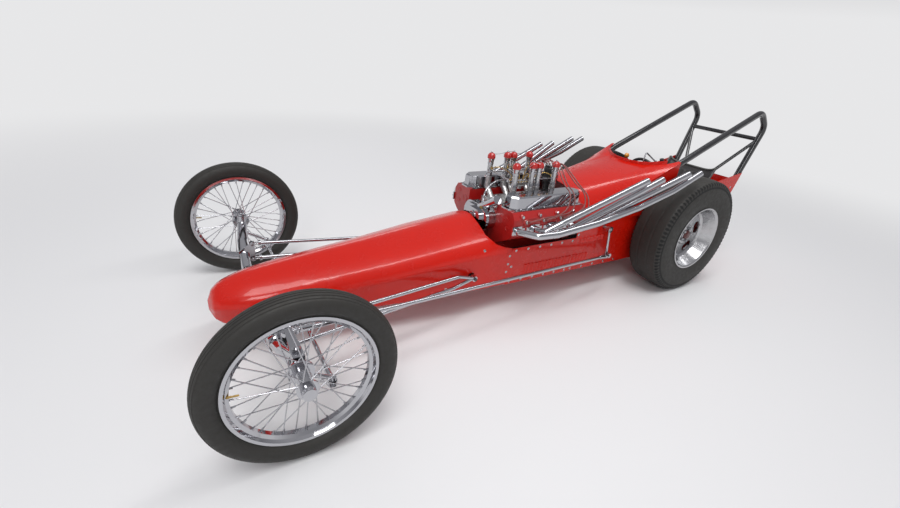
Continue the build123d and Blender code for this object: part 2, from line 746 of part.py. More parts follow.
# Intake manifold with a throttle body under each stack
with BuildPart() as intake_manifold:
    block(place(engine_front + 52, -90, deck_up + 60), place(engine_rear - 93, 90, deck_up + 95))
    for behind in stack_behind:
        for side in (1, -1):
            tube(
                [place(behind, side * 60, deck_up + 80), place(behind, side * stack_left, deck_up + 134),
                 place(behind, side * stack_left, head_top + cover_height + 8)],
                stack_radius + 2, [30],
            )
save(intake_manifold, "intake_manifold")

with BuildPart() as injector_stacks:
    for behind in stack_behind:
        for side in (1, -1):
            with BuildSketch(wheel_plane(front_x - behind, side * stack_left, 0)):
                with BuildLine():
                    low = head_top + cover_height + 8
                    Polyline((0, low), (stack_radius, low), (stack_radius, stack_top - 25),
                             (stack_radius + 5, stack_top), (0, stack_top), close=True)
                make_face()
            revolve(axis=Axis(place(behind, side * stack_left, 0), (0, 0, 1)))
save(injector_stacks, "injector_stacks")

with BuildPart() as stack_caps:
    for behind in stack_behind:
        for side in (1, -1):
            with BuildSketch(wheel_plane(front_x - behind, side * stack_left, 0)):
                with BuildLine():
                    cap = [(0, 0), (22, 0), (22, 12), (20, 20), (12, 28), (0, 32)]
                    Polyline(*[(r, stack_top + up) for r, up in cap], close=True)
                make_face()
            revolve(axis=Axis(place(behind, side * stack_left, 0), (0, 0, 1)))
save(stack_caps, "stack_caps")

# Timing cover with the pump housing and water outlet on the front of the block
with BuildPart() as timing_cover:
    with BuildSketch(cross_plane(engine_front)):
        with Locations((0, crank_up), (0, crank_up + 120)):
            Circle(88)
        make_hull()
    extrude(amount=36)
    # Steps of the pump housing: width, height, corner radius, start and end ahead of the block
    for wide, high, corner, start, end in (
        (236, 122, 58, 0, 46), (214, 102, 48, 46, 58), (128, 84, 38, 58, 74),
    ):
        with BuildSketch(cross_plane(engine_front - start)):
            with Locations((22, 503)):
                RectangleRounded(wide, high, corner)
        extrude(amount=end - start)
    rod(place(engine_front - 28, 20, 540), place(engine_front - 28, 162, 630), 23)
    with BuildSketch(cross_plane(engine_front - 36)):
        with Locations((0, crank_up)):
            Circle(75)
    extrude(amount=26)
save(timing_cover, "timing_cover")

with BuildPart() as magneto:
    behind = engine_rear - 55
    for low, high, radius in ((deck_up + 60, 660, 30), (660, 700, 50), (700, 728, 38)):
        rod(place(behind, 0, low), place(behind, 0, high), radius)
save(magneto, "magneto")

# Exhaust pipes: each leaves its port, dips, and sweeps out and up over the slick
port_up = 505.0
#    distance of the port behind the engine's front, then the corners of the pipe up to its tip
exhaust_runs = (
    (137, ((engine_front + 150, 352, 503), (engine_front + 232, 378, 552), (wheelbase - 583, 436, 764))),
    (257, ((engine_front + 297, 345, 484), (engine_front + 357, 362, 515), (wheelbase - 468, 446, 768))),
    (372, ((engine_front + 417, 350, 490), (engine_front + 488, 372, 528), (wheelbase - 583, 428, 664),
           (wheelbase - 268, 464, 792))),
    (22, ((engine_front + 82, 392, 507), (engine_front + 187, 412, 513), (engine_front + 437, 438, 556),
          (wheelbase - 616, 448, 617), (wheelbase - 365, 460, 697), (wheelbase - 160, 468, 792))),
)
with BuildPart() as headers:
    for step, corners in exhaust_runs:
        port = engine_front + step
        run = [place(port, head_outer, port_up), place(port, head_outer + 24, port_up)]
        run += [place(*corner) for corner in corners]
        tube(run, pipe_radius, [18, 26, 50, 200, 200, 200][:len(run) - 2])
        block(place(port - 30, head_outer, port_up - 22), place(port + 30, head_outer + 8, port_up + 22))
    block(place(engine_front + 5, head_outer, port_up - 9),
          place(engine_front + 400, head_outer + 5, port_up + 9))
    for step, corners in exhaust_runs:
        aim = Vector(*place(*corners[-1])) - Vector(*place(*corners[-2]))
        boss(place(*corners[-1]), aim, pipe_radius - 2, 160, mode=Mode.SUBTRACT)
save_pair(headers, "headers")

# Bell housing, drive line and rear axle housing
with BuildPart() as bell_housing:
    with BuildSketch(cross_plane(engine_rear)):
        with Locations((0, crank_up + 10)):
            Circle(150)
    with BuildSketch(cross_plane(engine_rear + 170)):
        with Locations((0, crank_up + 10)):
            Circle(85)
    loft()
    rod(place(engine_rear + 170, 0, crank_up + 10), place(wheelbase - 124, 0, rear_tyre_radius - 20), 48)
save(bell_housing, "bell_housing")

axle_inner = 326.0
with BuildPart() as axle_housing:
    boss((rear_x, 0, rear_tyre_radius), (0, 1, 0), 38, 2 * axle_inner)
    boss((rear_x, 0, rear_tyre_radius), (0, 1, 0), 118, 150)
    boss((rear_x, 0, rear_tyre_radius), (1, 0, 0), 95, 240)
    for side in (1, -1):
        boss((rear_x, side * (axle_inner - 6), rear_tyre_radius), (0, 1, 0), 62, 12)
    for side in (1, -1):
        block(place(wheelbase - 60, side * (rail_half - 8), rail_low + rail_radius + fit_gap),
              place(wheelbase + 60, side * (rail_half + 8), rail_high - rail_radius - fit_gap))
    boss((rear_x, 0, rear_tyre_radius), (0, 1, 0), 20 + shaft_gap, 2 * axle_inner + 10, mode=Mode.SUBTRACT)
save(axle_housing, "axle_housing")

# Rear wheels on one locked axle shaft
rear_y = rear_track / 2
rear_hub = (rear_x, rear_y, rear_tyre_radius)
disc_y = 20.0
with BuildPart() as axle_shaft:
    boss((rear_x, 0, rear_tyre_radius), (0, 1, 0), 20, 2 * (rear_y + disc_y - 12))
    for side in (1, -1):
        boss((rear_x, side * (rear_y + disc_y - 18), rear_tyre_radius), (0, 1, 0), 70, 12)
save(axle_shaft, "axle_shaft")

with BuildPart() as wheel_rear:
    with BuildSketch(wheel_plane(*rear_hub)):
        with BuildLine():
            half = rear_rim_width / 2
            r = rear_rim_radius
            Polyline(
                (disc_y - 12, 24), (disc_y + 12, 24), (disc_y + 12, 60), (disc_y + 4, 70),
                (disc_y + 4, 150), (disc_y + 14, 162), (half - 8, r - 14), (half, r - 8), (half, r),
                (half - 5, r), (half - 5, r - 7), (disc_y, r - 14), (5 - half, r - 7), (5 - half, r),
                (-half, r), (-half, r - 10), (disc_y - 8, 172), (disc_y - 8, 70), (disc_y - 12, 60),
                close=True,
            )
        make_face()
    revolve(axis=Axis(rear_hub, (0, 1, 0)))
    window_plane = Plane(origin=(rear_x, rear_y + disc_y + 20, rear_tyre_radius), x_dir=(1, 0, 0),
                         z_dir=(0, -1, 0))
    with BuildSketch(window_plane):
        with PolarLocations(112, 5, start_angle=18):
            SlotOverall(84, 50, rotation=90)
    extrude(amount=40, mode=Mode.SUBTRACT)
save_pair(wheel_rear, "wheel_rear")

with BuildPart() as tyre_rear:
    with BuildSketch(wheel_plane(*rear_hub)):
        with BuildLine():
            inside = rear_rim_width / 2 - 5.5
            toe, heel = rear_rim_radius - 6.5, rear_rim_radius + 2
            shoulder = (rear_tyre_width / 2 - 8, rear_tyre_radius - 20)
            tread = (rear_tyre_width / 2 - 30, rear_tyre_radius - 4)
            side = (rear_tyre_width / 2, (heel + rear_tyre_radius) / 2)
            Line((inside, toe), (inside, heel))
            ThreePointArc((inside, heel), side, shoulder)
            ThreePointArc(shoulder, (rear_tyre_width / 2 - 17, rear_tyre_radius - 8.5), tread)
            ThreePointArc(tread, (0, rear_tyre_radius), (-tread[0], tread[1]))
            ThreePointArc((-tread[0], tread[1]), (17 - rear_tyre_width / 2, rear_tyre_radius - 8.5),
                          (-shoulder[0], shoulder[1]))
            ThreePointArc((-shoulder[0], shoulder[1]), (-side[0], side[1]), (-inside, heel))
            Polyline((-inside, heel), (-inside, toe), (12 - inside, toe), (22 - inside, rear_tyre_radius - 30),
                     (inside - 22, rear_tyre_radius - 30), (inside - 12, toe), (inside, toe))
        make_face()
    revolve(axis=Axis(rear_hub, (0, 1, 0)))
save_pair(tyre_rear, "tyre_rear")

# Cockpit: fire wall, seat, steering and brake lever
fire_wall_at = scuttle_front + 60
with BuildPart() as fire_wall:
    with BuildSketch(cross_plane(fire_wall_at)):
        share = (fire_wall_at - scuttle_front) / (scuttle_sections[1][0] - scuttle_front)
        first, second = scuttle_sections[0][1:], scuttle_sections[1][1:]
        scuttle_outline(*[a + share * (b - a) for a, b in zip(first, second)], sheet + 1)
        with Locations((0, rail_high - 52)):
            Rectangle(1000, 140, mode=Mode.SUBTRACT)
        low, high = belly_up + sheet + fit_gap, rail_high + rail_radius + 11
        with Locations((0, (low + high) / 2)):
            Rectangle(2 * (rail_half - rail_radius - 1), high - low)
        with Locations((0, crank_up + 10)):
            Circle(152, mode=Mode.SUBTRACT)
    extrude(amount=sheet)
save(fire_wall, "fire_wall")

with BuildPart() as seat:
    with BuildSketch(Plane.XZ.offset(-185)):
        with BuildLine():
            base = rail_high + brace_radius + fit_gap
            shell = [(120, base), (120, 540), (400, 510), (500, 690), (548, 690), (465, base)]
            Polyline(*[(rear_x - behind, up) for behind, up in shell], close=True)
        make_face()
    extrude(amount=370)
    fillet(seat.edges().filter_by(Axis.Y), 12)
save(seat, "seat")

wheel_centre = place(wheelbase, 0, 640)
column_foot = place(wheelbase - 508, 0, 440)
column = Vector(*column_foot) - Vector(*wheel_centre)
with BuildPart() as steering_box:
    block(place(pitman_pivot[0] - 20, -35, 400), place(wheelbase - 511.6, 35, 460))
    rod(place(pitman_pivot[0], 30, pitman_pivot[1]),
        place(pitman_pivot[0], pitman_left + 12, pitman_pivot[1]), pitman_shaft)
save(steering_box, "steering_box")

with BuildPart() as steering_wheel:
    with Locations(Plane(origin=wheel_centre, z_dir=column).location):
        Torus(118, 10)
        for turn in (90, 210, 330):
            with PolarLocations(0, 1, start_angle=turn):
                Box(112, 18, 5, align=(Align.MIN, Align.CENTER, Align.CENTER))
        Cylinder(26, 16)
    rod(wheel_centre, column_foot, 9)
save(steering_wheel, "steering_wheel")

lever_foot = wheelbase + 80
with BuildPart() as brake_lever:
    rod(place(lever_foot, 150, rail_high), place(lever_foot - 110, 120, 770), 8)
    rod(place(lever_foot, 135, rail_high), place(lever_foot, rail_half - rail_radius - fit_gap, rail_high), 20)
save(brake_lever, "brake_lever")
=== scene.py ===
"""Looks of a front-engined dragster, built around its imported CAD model.

The frame is in metres: +X is forward, +Y is the driver's left, +Z is up, and the origin is on the
floor below the middle of the car. Sizes here are in millimetres unless a docstring says metres,
and places are given behind the front axle, to the left and above the floor, as in the part's
source. Car.spot turns them into the frame.
"""
import json
import logging
import math
from dataclasses import dataclass
from enum import Enum

import bmesh
import bpy
import numpy as np
from mathutils import Matrix, Vector
from mathutils.bvhtree import BVHTree


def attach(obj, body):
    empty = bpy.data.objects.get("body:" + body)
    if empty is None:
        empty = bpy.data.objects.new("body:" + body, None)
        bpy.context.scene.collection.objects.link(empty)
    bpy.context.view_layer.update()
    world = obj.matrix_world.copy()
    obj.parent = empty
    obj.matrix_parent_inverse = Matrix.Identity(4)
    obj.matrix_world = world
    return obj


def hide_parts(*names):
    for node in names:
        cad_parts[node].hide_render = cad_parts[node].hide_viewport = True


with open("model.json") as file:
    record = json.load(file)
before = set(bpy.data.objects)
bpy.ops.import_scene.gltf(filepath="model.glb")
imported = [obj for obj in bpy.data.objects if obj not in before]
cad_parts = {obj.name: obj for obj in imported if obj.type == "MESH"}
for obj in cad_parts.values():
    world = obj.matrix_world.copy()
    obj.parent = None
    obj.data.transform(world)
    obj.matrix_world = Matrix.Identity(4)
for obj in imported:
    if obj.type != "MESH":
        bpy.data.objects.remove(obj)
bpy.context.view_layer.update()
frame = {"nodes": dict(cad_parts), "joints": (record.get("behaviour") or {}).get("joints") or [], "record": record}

log = logging.getLogger("dragster")

SLANT = np.array((0.31, 0.47, 0.83))  # a direction that no axis of the car is parallel to
FORWARD, UP = (1, 0, 0), (0, 0, 1)
Triple = tuple[float, float, float]
Spot = Triple
Colour = Triple
Pair = tuple[float, float]
Profile = tuple[Pair, ...]  # mostly distance along an axis and radius


class Pattern(Enum):
    """Node groups that more than one finish uses."""

    DUST = "settled_dust"
    GRAIN = "surface_grain"
    STREAK = "brushed_streaks"


class Side(Enum):
    """The two sides of the car, by the sign of Y."""

    LEFT = 1
    RIGHT = -1

    @property
    def word(self) -> str:
        """The side's name as the CAD nodes write it."""
        return self.name.lower()


# Materials

STREAK_STRETCH = (0.08, 1.0, 1.0)
NOISE_DETAIL, NOISE_ROUGHNESS = 6.0, 0.6
DUST_SCALE, DUST_COLOUR = 5.0, (0.30, 0.28, 0.25)
DUST_LEVEL, DUST_PATCH = (0.2, 1.0), (0.42, 0.72)  # ranges of upward face and of noise
GRAIN_RANGE = (0.3, 0.7)
COAT_ROUGHNESS = 0.03


class Graph:
    """A short way to place, set and join shader nodes in a node tree."""

    def __init__(self, tree: bpy.types.NodeTree) -> None:
        """Empty the tree that the nodes go into, and keep it."""
        self.tree = tree
        tree.nodes.clear()

    def node(self, kind: str, **settings: object) -> bpy.types.Node:
        """Add one node.

        Args:
            kind: Blender's name of the node type.
            settings: Properties to set. With a leading underscore it is an input, by its name or
                number, and its value is a constant or the output that feeds it.

        Returns:
            The new node.
        """
        made = self.tree.nodes.new(kind)
        for key, value in settings.items():
            if not key.startswith("_"):
                setattr(made, key, value)
                continue
            target = made.inputs[int(key[1:]) if key[1:].isdigit() else key[1:].replace("_", " ")]
            if isinstance(value, bpy.types.NodeSocket):
                self.tree.links.new(value, target)
            else:
                target.default_value = value
        return made

    def feed(self, output: str | int, kind: str, **settings: object) -> bpy.types.NodeSocket:
        """Add one node as node() does, and return the output of that name or number."""
        return self.node(kind, **settings).outputs[output]


def group_tree(pattern: Pattern) -> bpy.types.NodeTree:
    """Node group of a shared effect, built the first time that it is asked for.

    Args:
        pattern: Which effect.

    Returns:
        The shader node group, with a scale and an amount as inputs and a mask as output.
    """
    found = bpy.data.node_groups.get(pattern.value)
    if found:
        return found
    tree = bpy.data.node_groups.new(pattern.value, "ShaderNodeTree")
    for name, way in (("Scale", "INPUT"), ("Amount", "INPUT"), ("Mask", "OUTPUT")):
        tree.interface.new_socket(name, in_out=way, socket_type="NodeSocketFloat")
    graph = Graph(tree)
    given = graph.node("NodeGroupInput").outputs
    place = graph.feed("Object", "ShaderNodeTexCoord")
    if pattern is Pattern.STREAK:
        place = graph.feed("Vector", "ShaderNodeMapping", _Vector=place, _Scale=STREAK_STRETCH)
    mask = graph.feed("Fac", "ShaderNodeTexNoise", _Vector=place, _Scale=given["Scale"],
                      _Detail=NOISE_DETAIL, _Roughness=NOISE_ROUGHNESS)
    if pattern is Pattern.DUST:
        normal = graph.feed("Normal", "ShaderNodeNewGeometry")
        rise = graph.feed("Z", "ShaderNodeSeparateXYZ", _Vector=normal)
        level, patch = (graph.feed("Result", "ShaderNodeMapRange", _Value=value, _From_Min=low,
                                   _From_Max=high)
                        for value, low, high in ((rise, *DUST_LEVEL), (mask, *DUST_PATCH)))
        mask = graph.feed("Value", "ShaderNodeMath", operation="MULTIPLY", _0=level, _1=patch)
    mask = graph.feed("Value", "ShaderNodeMath", operation="MULTIPLY", _0=mask, _1=given["Amount"])
    graph.node("NodeGroupOutput", _Mask=mask)
    return tree


@dataclass(frozen=True)
class Finish:
    """A surface finish with a grain, a spread of gloss and settled dust.

    Attributes:
        name: Material name.
        slot: Material slot of the record that it belongs to.
        colour: Main colour, linear RGB.
        shade: Second colour that the grain fades to.
        metallic: 1 for bare or plated metal.
        gloss: Roughness at one end of the grain and at the other.
        coat: Weight of a clear coat.
        grain: Scale of the grain over the object, in cells a metre.
        bump: Height of the grain as relief, in metres.
        dust: How much dust settles on what faces up.
        streaked: True where the grain runs along the car.
        shine: Level of the surface's own reflection, 0.5 for the usual.
    """

    name: str
    slot: str
    colour: Colour
    shade: Colour
    metallic: float = 0.0
    gloss: Pair = (0.3, 0.5)
    coat: float = 0.0
    grain: float = 60.0
    bump: float = 0.0
    dust: float = 0.05
    streaked: bool = False
    shine: float = 0.5

    def material(self) -> bpy.types.Material:
        """Build the material, or find it if it is there already.

        Returns:
            The node material.
        """
        found = bpy.data.materials.get(self.name)
        if found:
            return found
        made = bpy.data.materials.new(self.name)
        made.use_nodes = True
        graph = Graph(made.node_tree)
        pattern = Pattern.STREAK if self.streaked else Pattern.GRAIN
        grain = graph.feed("Mask", "ShaderNodeGroup", node_tree=group_tree(pattern),
                           _Scale=self.grain, _Amount=1.0)
        dust = graph.feed("Mask", "ShaderNodeGroup", node_tree=group_tree(Pattern.DUST),
                          _Scale=DUST_SCALE, _Amount=self.dust)
        base = graph.feed(2, "ShaderNodeMix", data_type="RGBA", _0=grain, _6=(*self.colour, 1),
                          _7=(*self.shade, 1))
        dusty = graph.feed(2, "ShaderNodeMix", data_type="RGBA", _0=dust, _6=base,
                           _7=(*DUST_COLOUR, 1))
        rough = graph.feed("Result", "ShaderNodeMapRange", _Value=grain,
                           _From_Min=GRAIN_RANGE[0], _From_Max=GRAIN_RANGE[1],
                           _To_Min=self.gloss[0], _To_Max=self.gloss[1])
        duller = graph.feed("Value", "ShaderNodeMath", operation="ADD", _0=rough, _1=dust)
        shader = graph.node("ShaderNodeBsdfPrincipled", _Base_Color=dusty, _Metallic=self.metallic,
                            _Roughness=duller, _Coat_Weight=self.coat,
                            _Coat_Roughness=COAT_ROUGHNESS, _Specular_IOR_Level=self.shine)
        if self.bump:
            relief = graph.feed("Normal", "ShaderNodeBump", _Height=grain, _Strength=1.0,
                                _Distance=self.bump)
            graph.tree.links.new(relief, shader.inputs["Normal"])
        graph.node("ShaderNodeOutputMaterial", _Surface=shader.outputs["BSDF"])
        return made


BODY_RED = Finish("body_red_enamel", "body_red", (0.60, 0.010, 0.002), (0.51, 0.007, 0.002),
                  gloss=(0.22, 0.30), coat=0.35, grain=9.0, dust=0.010, shine=0.25)
HUB_RED = Finish("dark_red_cap", "engine_red", (0.10, 0.008, 0.008), (0.06, 0.005, 0.005),
                 gloss=(0.18, 0.28), coat=0.4, dust=0.02)
FRAME_BLACK = Finish("gloss_black_tube", "frame_black", (0.010, 0.010, 0.012),
                     (0.016, 0.016, 0.018), gloss=(0.16, 0.26), coat=0.6, grain=30.0, dust=0.04)
ENGINE_RED = Finish("engine_red_enamel", "engine_red", (0.46, 0.012, 0.010),
                    (0.30, 0.008, 0.007), gloss=(0.26, 0.42), coat=0.35, grain=45.0, bump=0.0006,
                    dust=0.03)
CHROME = Finish("bright_chrome", "chrome", (0.54, 0.54, 0.56), (0.46, 0.46, 0.49),
                metallic=1.0, gloss=(0.04, 0.10), grain=14.0, dust=0.02)
POLISHED = Finish("polished_alloy", "polished", (0.58, 0.58, 0.59), (0.44, 0.44, 0.45),
                  metallic=1.0, gloss=(0.14, 0.28), grain=40.0, dust=0.03, streaked=True)
CAST = Finish("cast_alloy", "cast_alloy", (0.47, 0.46, 0.45), (0.33, 0.33, 0.32),
              metallic=1.0, gloss=(0.40, 0.58), grain=260.0, bump=0.0005, dust=0.04)
STEEL = Finish("machined_steel", "steel", (0.42, 0.42, 0.44), (0.30, 0.30, 0.32),
               metallic=1.0, gloss=(0.22, 0.38), grain=70.0, dust=0.03, streaked=True)
BRASS = Finish("brass_fitting", "steel", (0.50, 0.33, 0.11), (0.38, 0.24, 0.08),
               metallic=1.0, gloss=(0.22, 0.36), grain=90.0, dust=0.02)
RUBBER = Finish("tyre_rubber", "tyre_black", (0.014, 0.013, 0.012), (0.027, 0.025, 0.021),
                gloss=(0.50, 0.75), grain=55.0, bump=0.0003, dust=0.06)
# Near-black rubber for the notch floors: painted shade in the notches, not a different rubber.
NOTCH_SHADE = Finish("notch_floor_painted_shade", "tyre_black", (0.006, 0.006, 0.006), (0.010, 0.010, 0.010),
               gloss=(0.8, 0.9), grain=90.0, dust=0.0)
SEAT_BLACK = Finish("black_seat_vinyl", "seat_black", (0.022, 0.020, 0.021),
                    (0.034, 0.031, 0.032), gloss=(0.38, 0.55), grain=420.0, bump=0.0004)
SEAT_EDGE = Finish("grey_seat_edge", "seat_black", (0.13, 0.13, 0.125), (0.09, 0.09, 0.085),
                   gloss=(0.35, 0.5), coat=0.1, grain=160.0, bump=0.0002, dust=0.04)
CAP_RED = Finish("red_cap", "cap_red", (0.50, 0.012, 0.010), (0.38, 0.010, 0.008),
                 gloss=(0.2, 0.3), coat=0.3, grain=40.0, dust=0.02)
LEAD_RED = Finish("red_lead_jacket", "cap_red", (0.26, 0.085, 0.080), (0.19, 0.055, 0.050),
                  gloss=(0.35, 0.5), coat=0.1, grain=120.0, dust=0.04)
# Black for the exhaust bores: real soot on their walls, and painted shade on the floor that closes each bore.
SOOT_AND_SHADE = Finish("soot_and_painted_shade_black", "chrome", (0.008, 0.007, 0.007), (0.016, 0.015, 0.014),
              gloss=(0.8, 0.95), grain=90.0, dust=0.0)
KNOB_AMBER = Finish("amber_knob", "cap_red", (0.72, 0.30, 0.03), (0.60, 0.22, 0.02),
                    gloss=(0.15, 0.25), coat=0.5, dust=0.0)
CAP_BLACK = Finish("black_moulding", "black_plastic", (0.012, 0.012, 0.013), (0.02, 0.02, 0.021),
                   gloss=(0.22, 0.36), coat=0.1, dust=0.04)
PORCELAIN = Finish("plug_porcelain", "polished", (0.78, 0.77, 0.74), (0.66, 0.65, 0.62),
                   gloss=(0.12, 0.2), coat=0.4, dust=0.02)

SLOT_FINISHES = {finish.slot: finish for finish in (
    BODY_RED, FRAME_BLACK, ENGINE_RED, CHROME, POLISHED, CAST, STEEL, RUBBER, SEAT_BLACK, CAP_RED,
    CAP_BLACK)}


def dress_nodes(nodes: dict[str, bpy.types.Object], record: dict) -> None:
    """Give every CAD node the finish of its material slot.

    Args:
        nodes: CAD objects by node name.
        record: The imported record.
    """
    for row in record["subparts"]:
        mesh = nodes[row["node"]].data
        mesh.materials.clear()
        mesh.materials.append(SLOT_FINISHES[row["material_slot"]].material())
        log.info("%s wears %s", row["node"], row["material_slot"])


# Surfaces


def unit(vectors: np.ndarray) -> np.ndarray:
    """Vectors at length 1."""
    return vectors / np.linalg.norm(vectors, axis=-1, keepdims=True)


def places_of(mesh: bpy.types.Mesh) -> np.ndarray:
    """Places of a mesh's points in metres, one row each."""
    places = np.empty(len(mesh.vertices) * 3, np.float32)
    mesh.vertices.foreach_get("co", places)
    return places.reshape(-1, 3)


def triangles_of(mesh: bpy.types.Mesh) -> np.ndarray:
    """Numbers of the three corners of each face of a mesh of triangles."""
    corners = np.empty(len(mesh.polygons) * 3, np.int32)
    mesh.polygons.foreach_get("vertices", corners)
    return corners.reshape(-1, 3)


def linked(name: str, data: bpy.types.ID) -> bpy.types.Object:
    """A new object of that name and data, linked to the scene."""
    made = bpy.data.objects.new(name, data)
    bpy.context.scene.collection.objects.link(made)
    return made


def arc(start: Pair, middle: Pair, end: Pair, steps: int) -> np.ndarray:
    """Points of the circle arc through three points of a plane.

    The centre is where the two perpendicular bisectors meet, and the angle goes evenly from the
    start to the end on the side of the middle point.

    Args:
        start: First point.
        middle: A point on the arc between them.
        end: Last point.
        steps: How many points.

    Returns:
        An array of steps rows of two columns.
    """
    a, b, c = (np.array(p, float) for p in (start, middle, end))
    rows = 2 * np.array((b - a, c - b))
    centre = np.linalg.solve(rows, np.array((b @ b - a @ a, c @ c - b @ b)))
    first, half, last = (math.atan2(*(p - centre)[::-1]) for p in (a, b, c))
    turn = (last - first) % (2 * math.pi)
    if (half - first) % (2 * math.pi) > turn:
        turn -= 2 * math.pi
    angle = first + turn * np.linspace(0, 1, steps)
    return centre + np.linalg.norm(a - centre) * np.stack((np.cos(angle), np.sin(angle)), -1)


def bezier(corners: tuple[Spot, ...], steps: int) -> np.ndarray:
    """Points of a Bezier curve.

    Each point is the sum of the corners, each weighted by its Bernstein polynomial: the binomial
    coefficient times the share to its number times the rest to the others' number.

    Args:
        corners: Control points.
        steps: How many points.

    Returns:
        An array of steps rows.
    """
    last = len(corners) - 1
    number = np.arange(last + 1)
    share = np.linspace(0, 1, steps)[:, None]
    choose = np.array([math.comb(last, k) for k in number])
    return (choose * share ** number * (1 - share) ** (last - number)) @ np.array(corners, float)


@dataclass(frozen=True)
class Car:
    """Driving sizes of the car, as in the part's source."""

    wheelbase: float = 2480.0
    front_track: float = 1444.0
    rear_track: float = 776.0
    front_radius: float = 318.0
    rear_radius: float = 369.0
    engine_front: float = 1143.0
    engine_rear: float = 1655.0
    head_top: float = 592.0
    stack_left: float = 114.0
    stack_top: float = 772.0
    stack_steps: tuple[float, ...] = (105.0, 218.0, 263.0, 380.0)
    kingpin_half: float = 632.0

    @property
    def front_x(self) -> float:
        """Front axle's place along the frame in metres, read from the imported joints."""
        rows = {row["name"]: row for row in frame["joints"]}
        return rows["left_steer"]["pos_m"][0]

    def spot(self, behind: float, left: float, up: float) -> Spot:
        """A place in the frame, in metres."""
        return (self.front_x - behind / 1000, left / 1000, up / 1000)

    def spots(self, rows: np.ndarray) -> np.ndarray:
        """Many places at once, from rows of behind, left and up."""
        rows = np.asarray(rows, float) / 1000
        return np.stack((self.front_x - rows[..., 0], rows[..., 1], rows[..., 2]), -1)

    @property
    def stacks(self) -> tuple[float, ...]:
        """How far back each pair of intake stacks stands."""
        return tuple(self.engine_front + step for step in self.stack_steps)


CAR = Car()


class Skin:
    """Surfaces worked out as arrays and put together into one mesh."""

    def __init__(self) -> None:
        """Start with no points."""
        self.points: list[np.ndarray] = []
        self.faces: list[np.ndarray] = []
        self.count = 0

    def grid(self, points: np.ndarray, round_rows: bool = False,
             round_cols: bool = False) -> "Skin":
        """Add a surface given on a grid of two parameters.

        Args:
            points: Rows, columns and three coordinates, in metres.
            round_rows: Whether the last row joins the first.
            round_cols: Whether the last column joins the first.

        Returns:
            This skin.
        """
        rows, cols = points.shape[:2]
        i, j = np.meshgrid(np.arange(rows if round_rows else rows - 1),
                           np.arange(cols if round_cols else cols - 1), indexing="ij")
        p, q = (i + 1) % rows, (j + 1) % cols
        quads = np.stack((i * cols + j, p * cols + j, p * cols + q, i * cols + q), -1)
        self.points.append(points.reshape(-1, 3))
        self.faces.append(quads.reshape(-1, 4) + self.count)
        self.count += rows * cols
        return self

    def lathe(self, profile: Profile | np.ndarray, centre: Spot, axis: Spot, steps: int = 32,
              closed: bool = False) -> "Skin":
        """Turn a profile round an axis.

        A point is the centre, plus its distance along the axis, plus its radius times the
        direction at its angle, which goes evenly round.

        Args:
            profile: Rows of distance along the axis and radius, in millimetres.
            centre: Where the distance is 0, in metres.
            axis: Direction of the axis.
            steps: How many angles.
            closed: True if the profile is a loop.

        Returns:
            This skin.
        """
        profile = np.asarray(profile, float) / 1000
        along = unit(np.asarray(axis, float))
        across = unit(np.cross(along, SLANT))
        other = np.cross(along, across)
        angle = np.linspace(0, 2 * np.pi, steps, endpoint=False)[:, None, None]
        ring = np.cos(angle) * across + np.sin(angle) * other
        points = np.asarray(centre) + profile[None, :, :1] * along + profile[None, :, 1:] * ring
        return self.grid(points, round_rows=True, round_cols=closed)

    def hexagon(self, centre: Spot, axis: Spot, size: float, height: float) -> "Skin":
        """Add a six-sided head with a chamfered end.

        Args:
            centre: Middle of its seat, in metres.
            axis: Direction that it points in.
            size: Radius over its corners, in millimetres.
            height: Height of the head, in millimetres.

        Returns:
            This skin.
        """
        return self.lathe(((-1, 0), (-1, size), (height * 0.8, size), (height, size * 0.82),
                           (height, 0)), centre, axis, 6)

    def pipe(self, path: np.ndarray, radius: float | np.ndarray, sides: int = 12) -> "Skin":
        """Carry a circle along a path and close both ends.

        The circle stands across the path's direction at each point; the first and last rings
        have no radius.

        Args:
            path: Points of the path, in metres.
            radius: Radius in millimetres, or one radius for each point.
            sides: How many corners the circle has.

        Returns:
            This skin.
        """
        path = np.asarray(path, float)
        forward = unit(np.gradient(path, axis=0))
        across = unit(np.cross(forward, SLANT))
        other = np.cross(forward, across)
        pick = np.r_[0, np.arange(len(path)), len(path) - 1]
        size = np.broadcast_to(np.asarray(radius, float) / 1000, (len(path),))[pick].copy()
        size[[0, -1]] = 0
        angle = np.linspace(0, 2 * np.pi, sides, endpoint=False)[None, :, None]
        ring = np.cos(angle) * across[pick, None] + np.sin(angle) * other[pick, None]
        return self.grid(path[pick, None] + size[:, None, None] * ring, round_cols=True)

    def rod(self, start: Spot, end: Spot, radius: float | tuple[float, ...] | np.ndarray,
            sides: int = 12) -> "Skin":
        """Add a straight pipe between two places behind the axle, left and up.

        Args:
            start: First end, in millimetres.
            end: Last end, in millimetres.
            radius: One radius, or as many as the rod has points.
            sides: How many corners the circle has.

        Returns:
            This skin.
        """
        count = 3 if np.ndim(radius) == 0 else len(radius)
        return self.pipe(CAR.spots(np.linspace(start, end, count)), radius, sides)

    def piece(self, name: str, finish: Finish, body: str = "chassis",
              soft: float = 35.0) -> bpy.types.Object:
        """Make the mesh, close its poles and let it ride on a body.

        Args:
            name: Name of the piece.
            finish: Its finish.
            body: The CAD body that carries it.
            soft: Edges up to this angle in degrees are shaded smooth.

        Returns:
            The new object.
        """
        mesh = bpy.data.meshes.new(name)
        mesh.from_pydata(np.concatenate(self.points).tolist(), [],
                         np.concatenate(self.faces).tolist())
        shape = bmesh.new()
        shape.from_mesh(mesh)
        bmesh.ops.remove_doubles(shape, verts=shape.verts, dist=1e-6)
        bmesh.ops.recalc_face_normals(shape, faces=shape.faces)
        shape.to_mesh(mesh)
        shape.free()
        mesh.shade_smooth()
        mesh.set_sharp_from_angle(angle=math.radians(soft))
        mesh.materials.append(finish.material())
        made = linked(name, mesh)
        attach(made, body)
        log.info("%s: %d faces on %s", name, len(mesh.polygons), body)
        return made


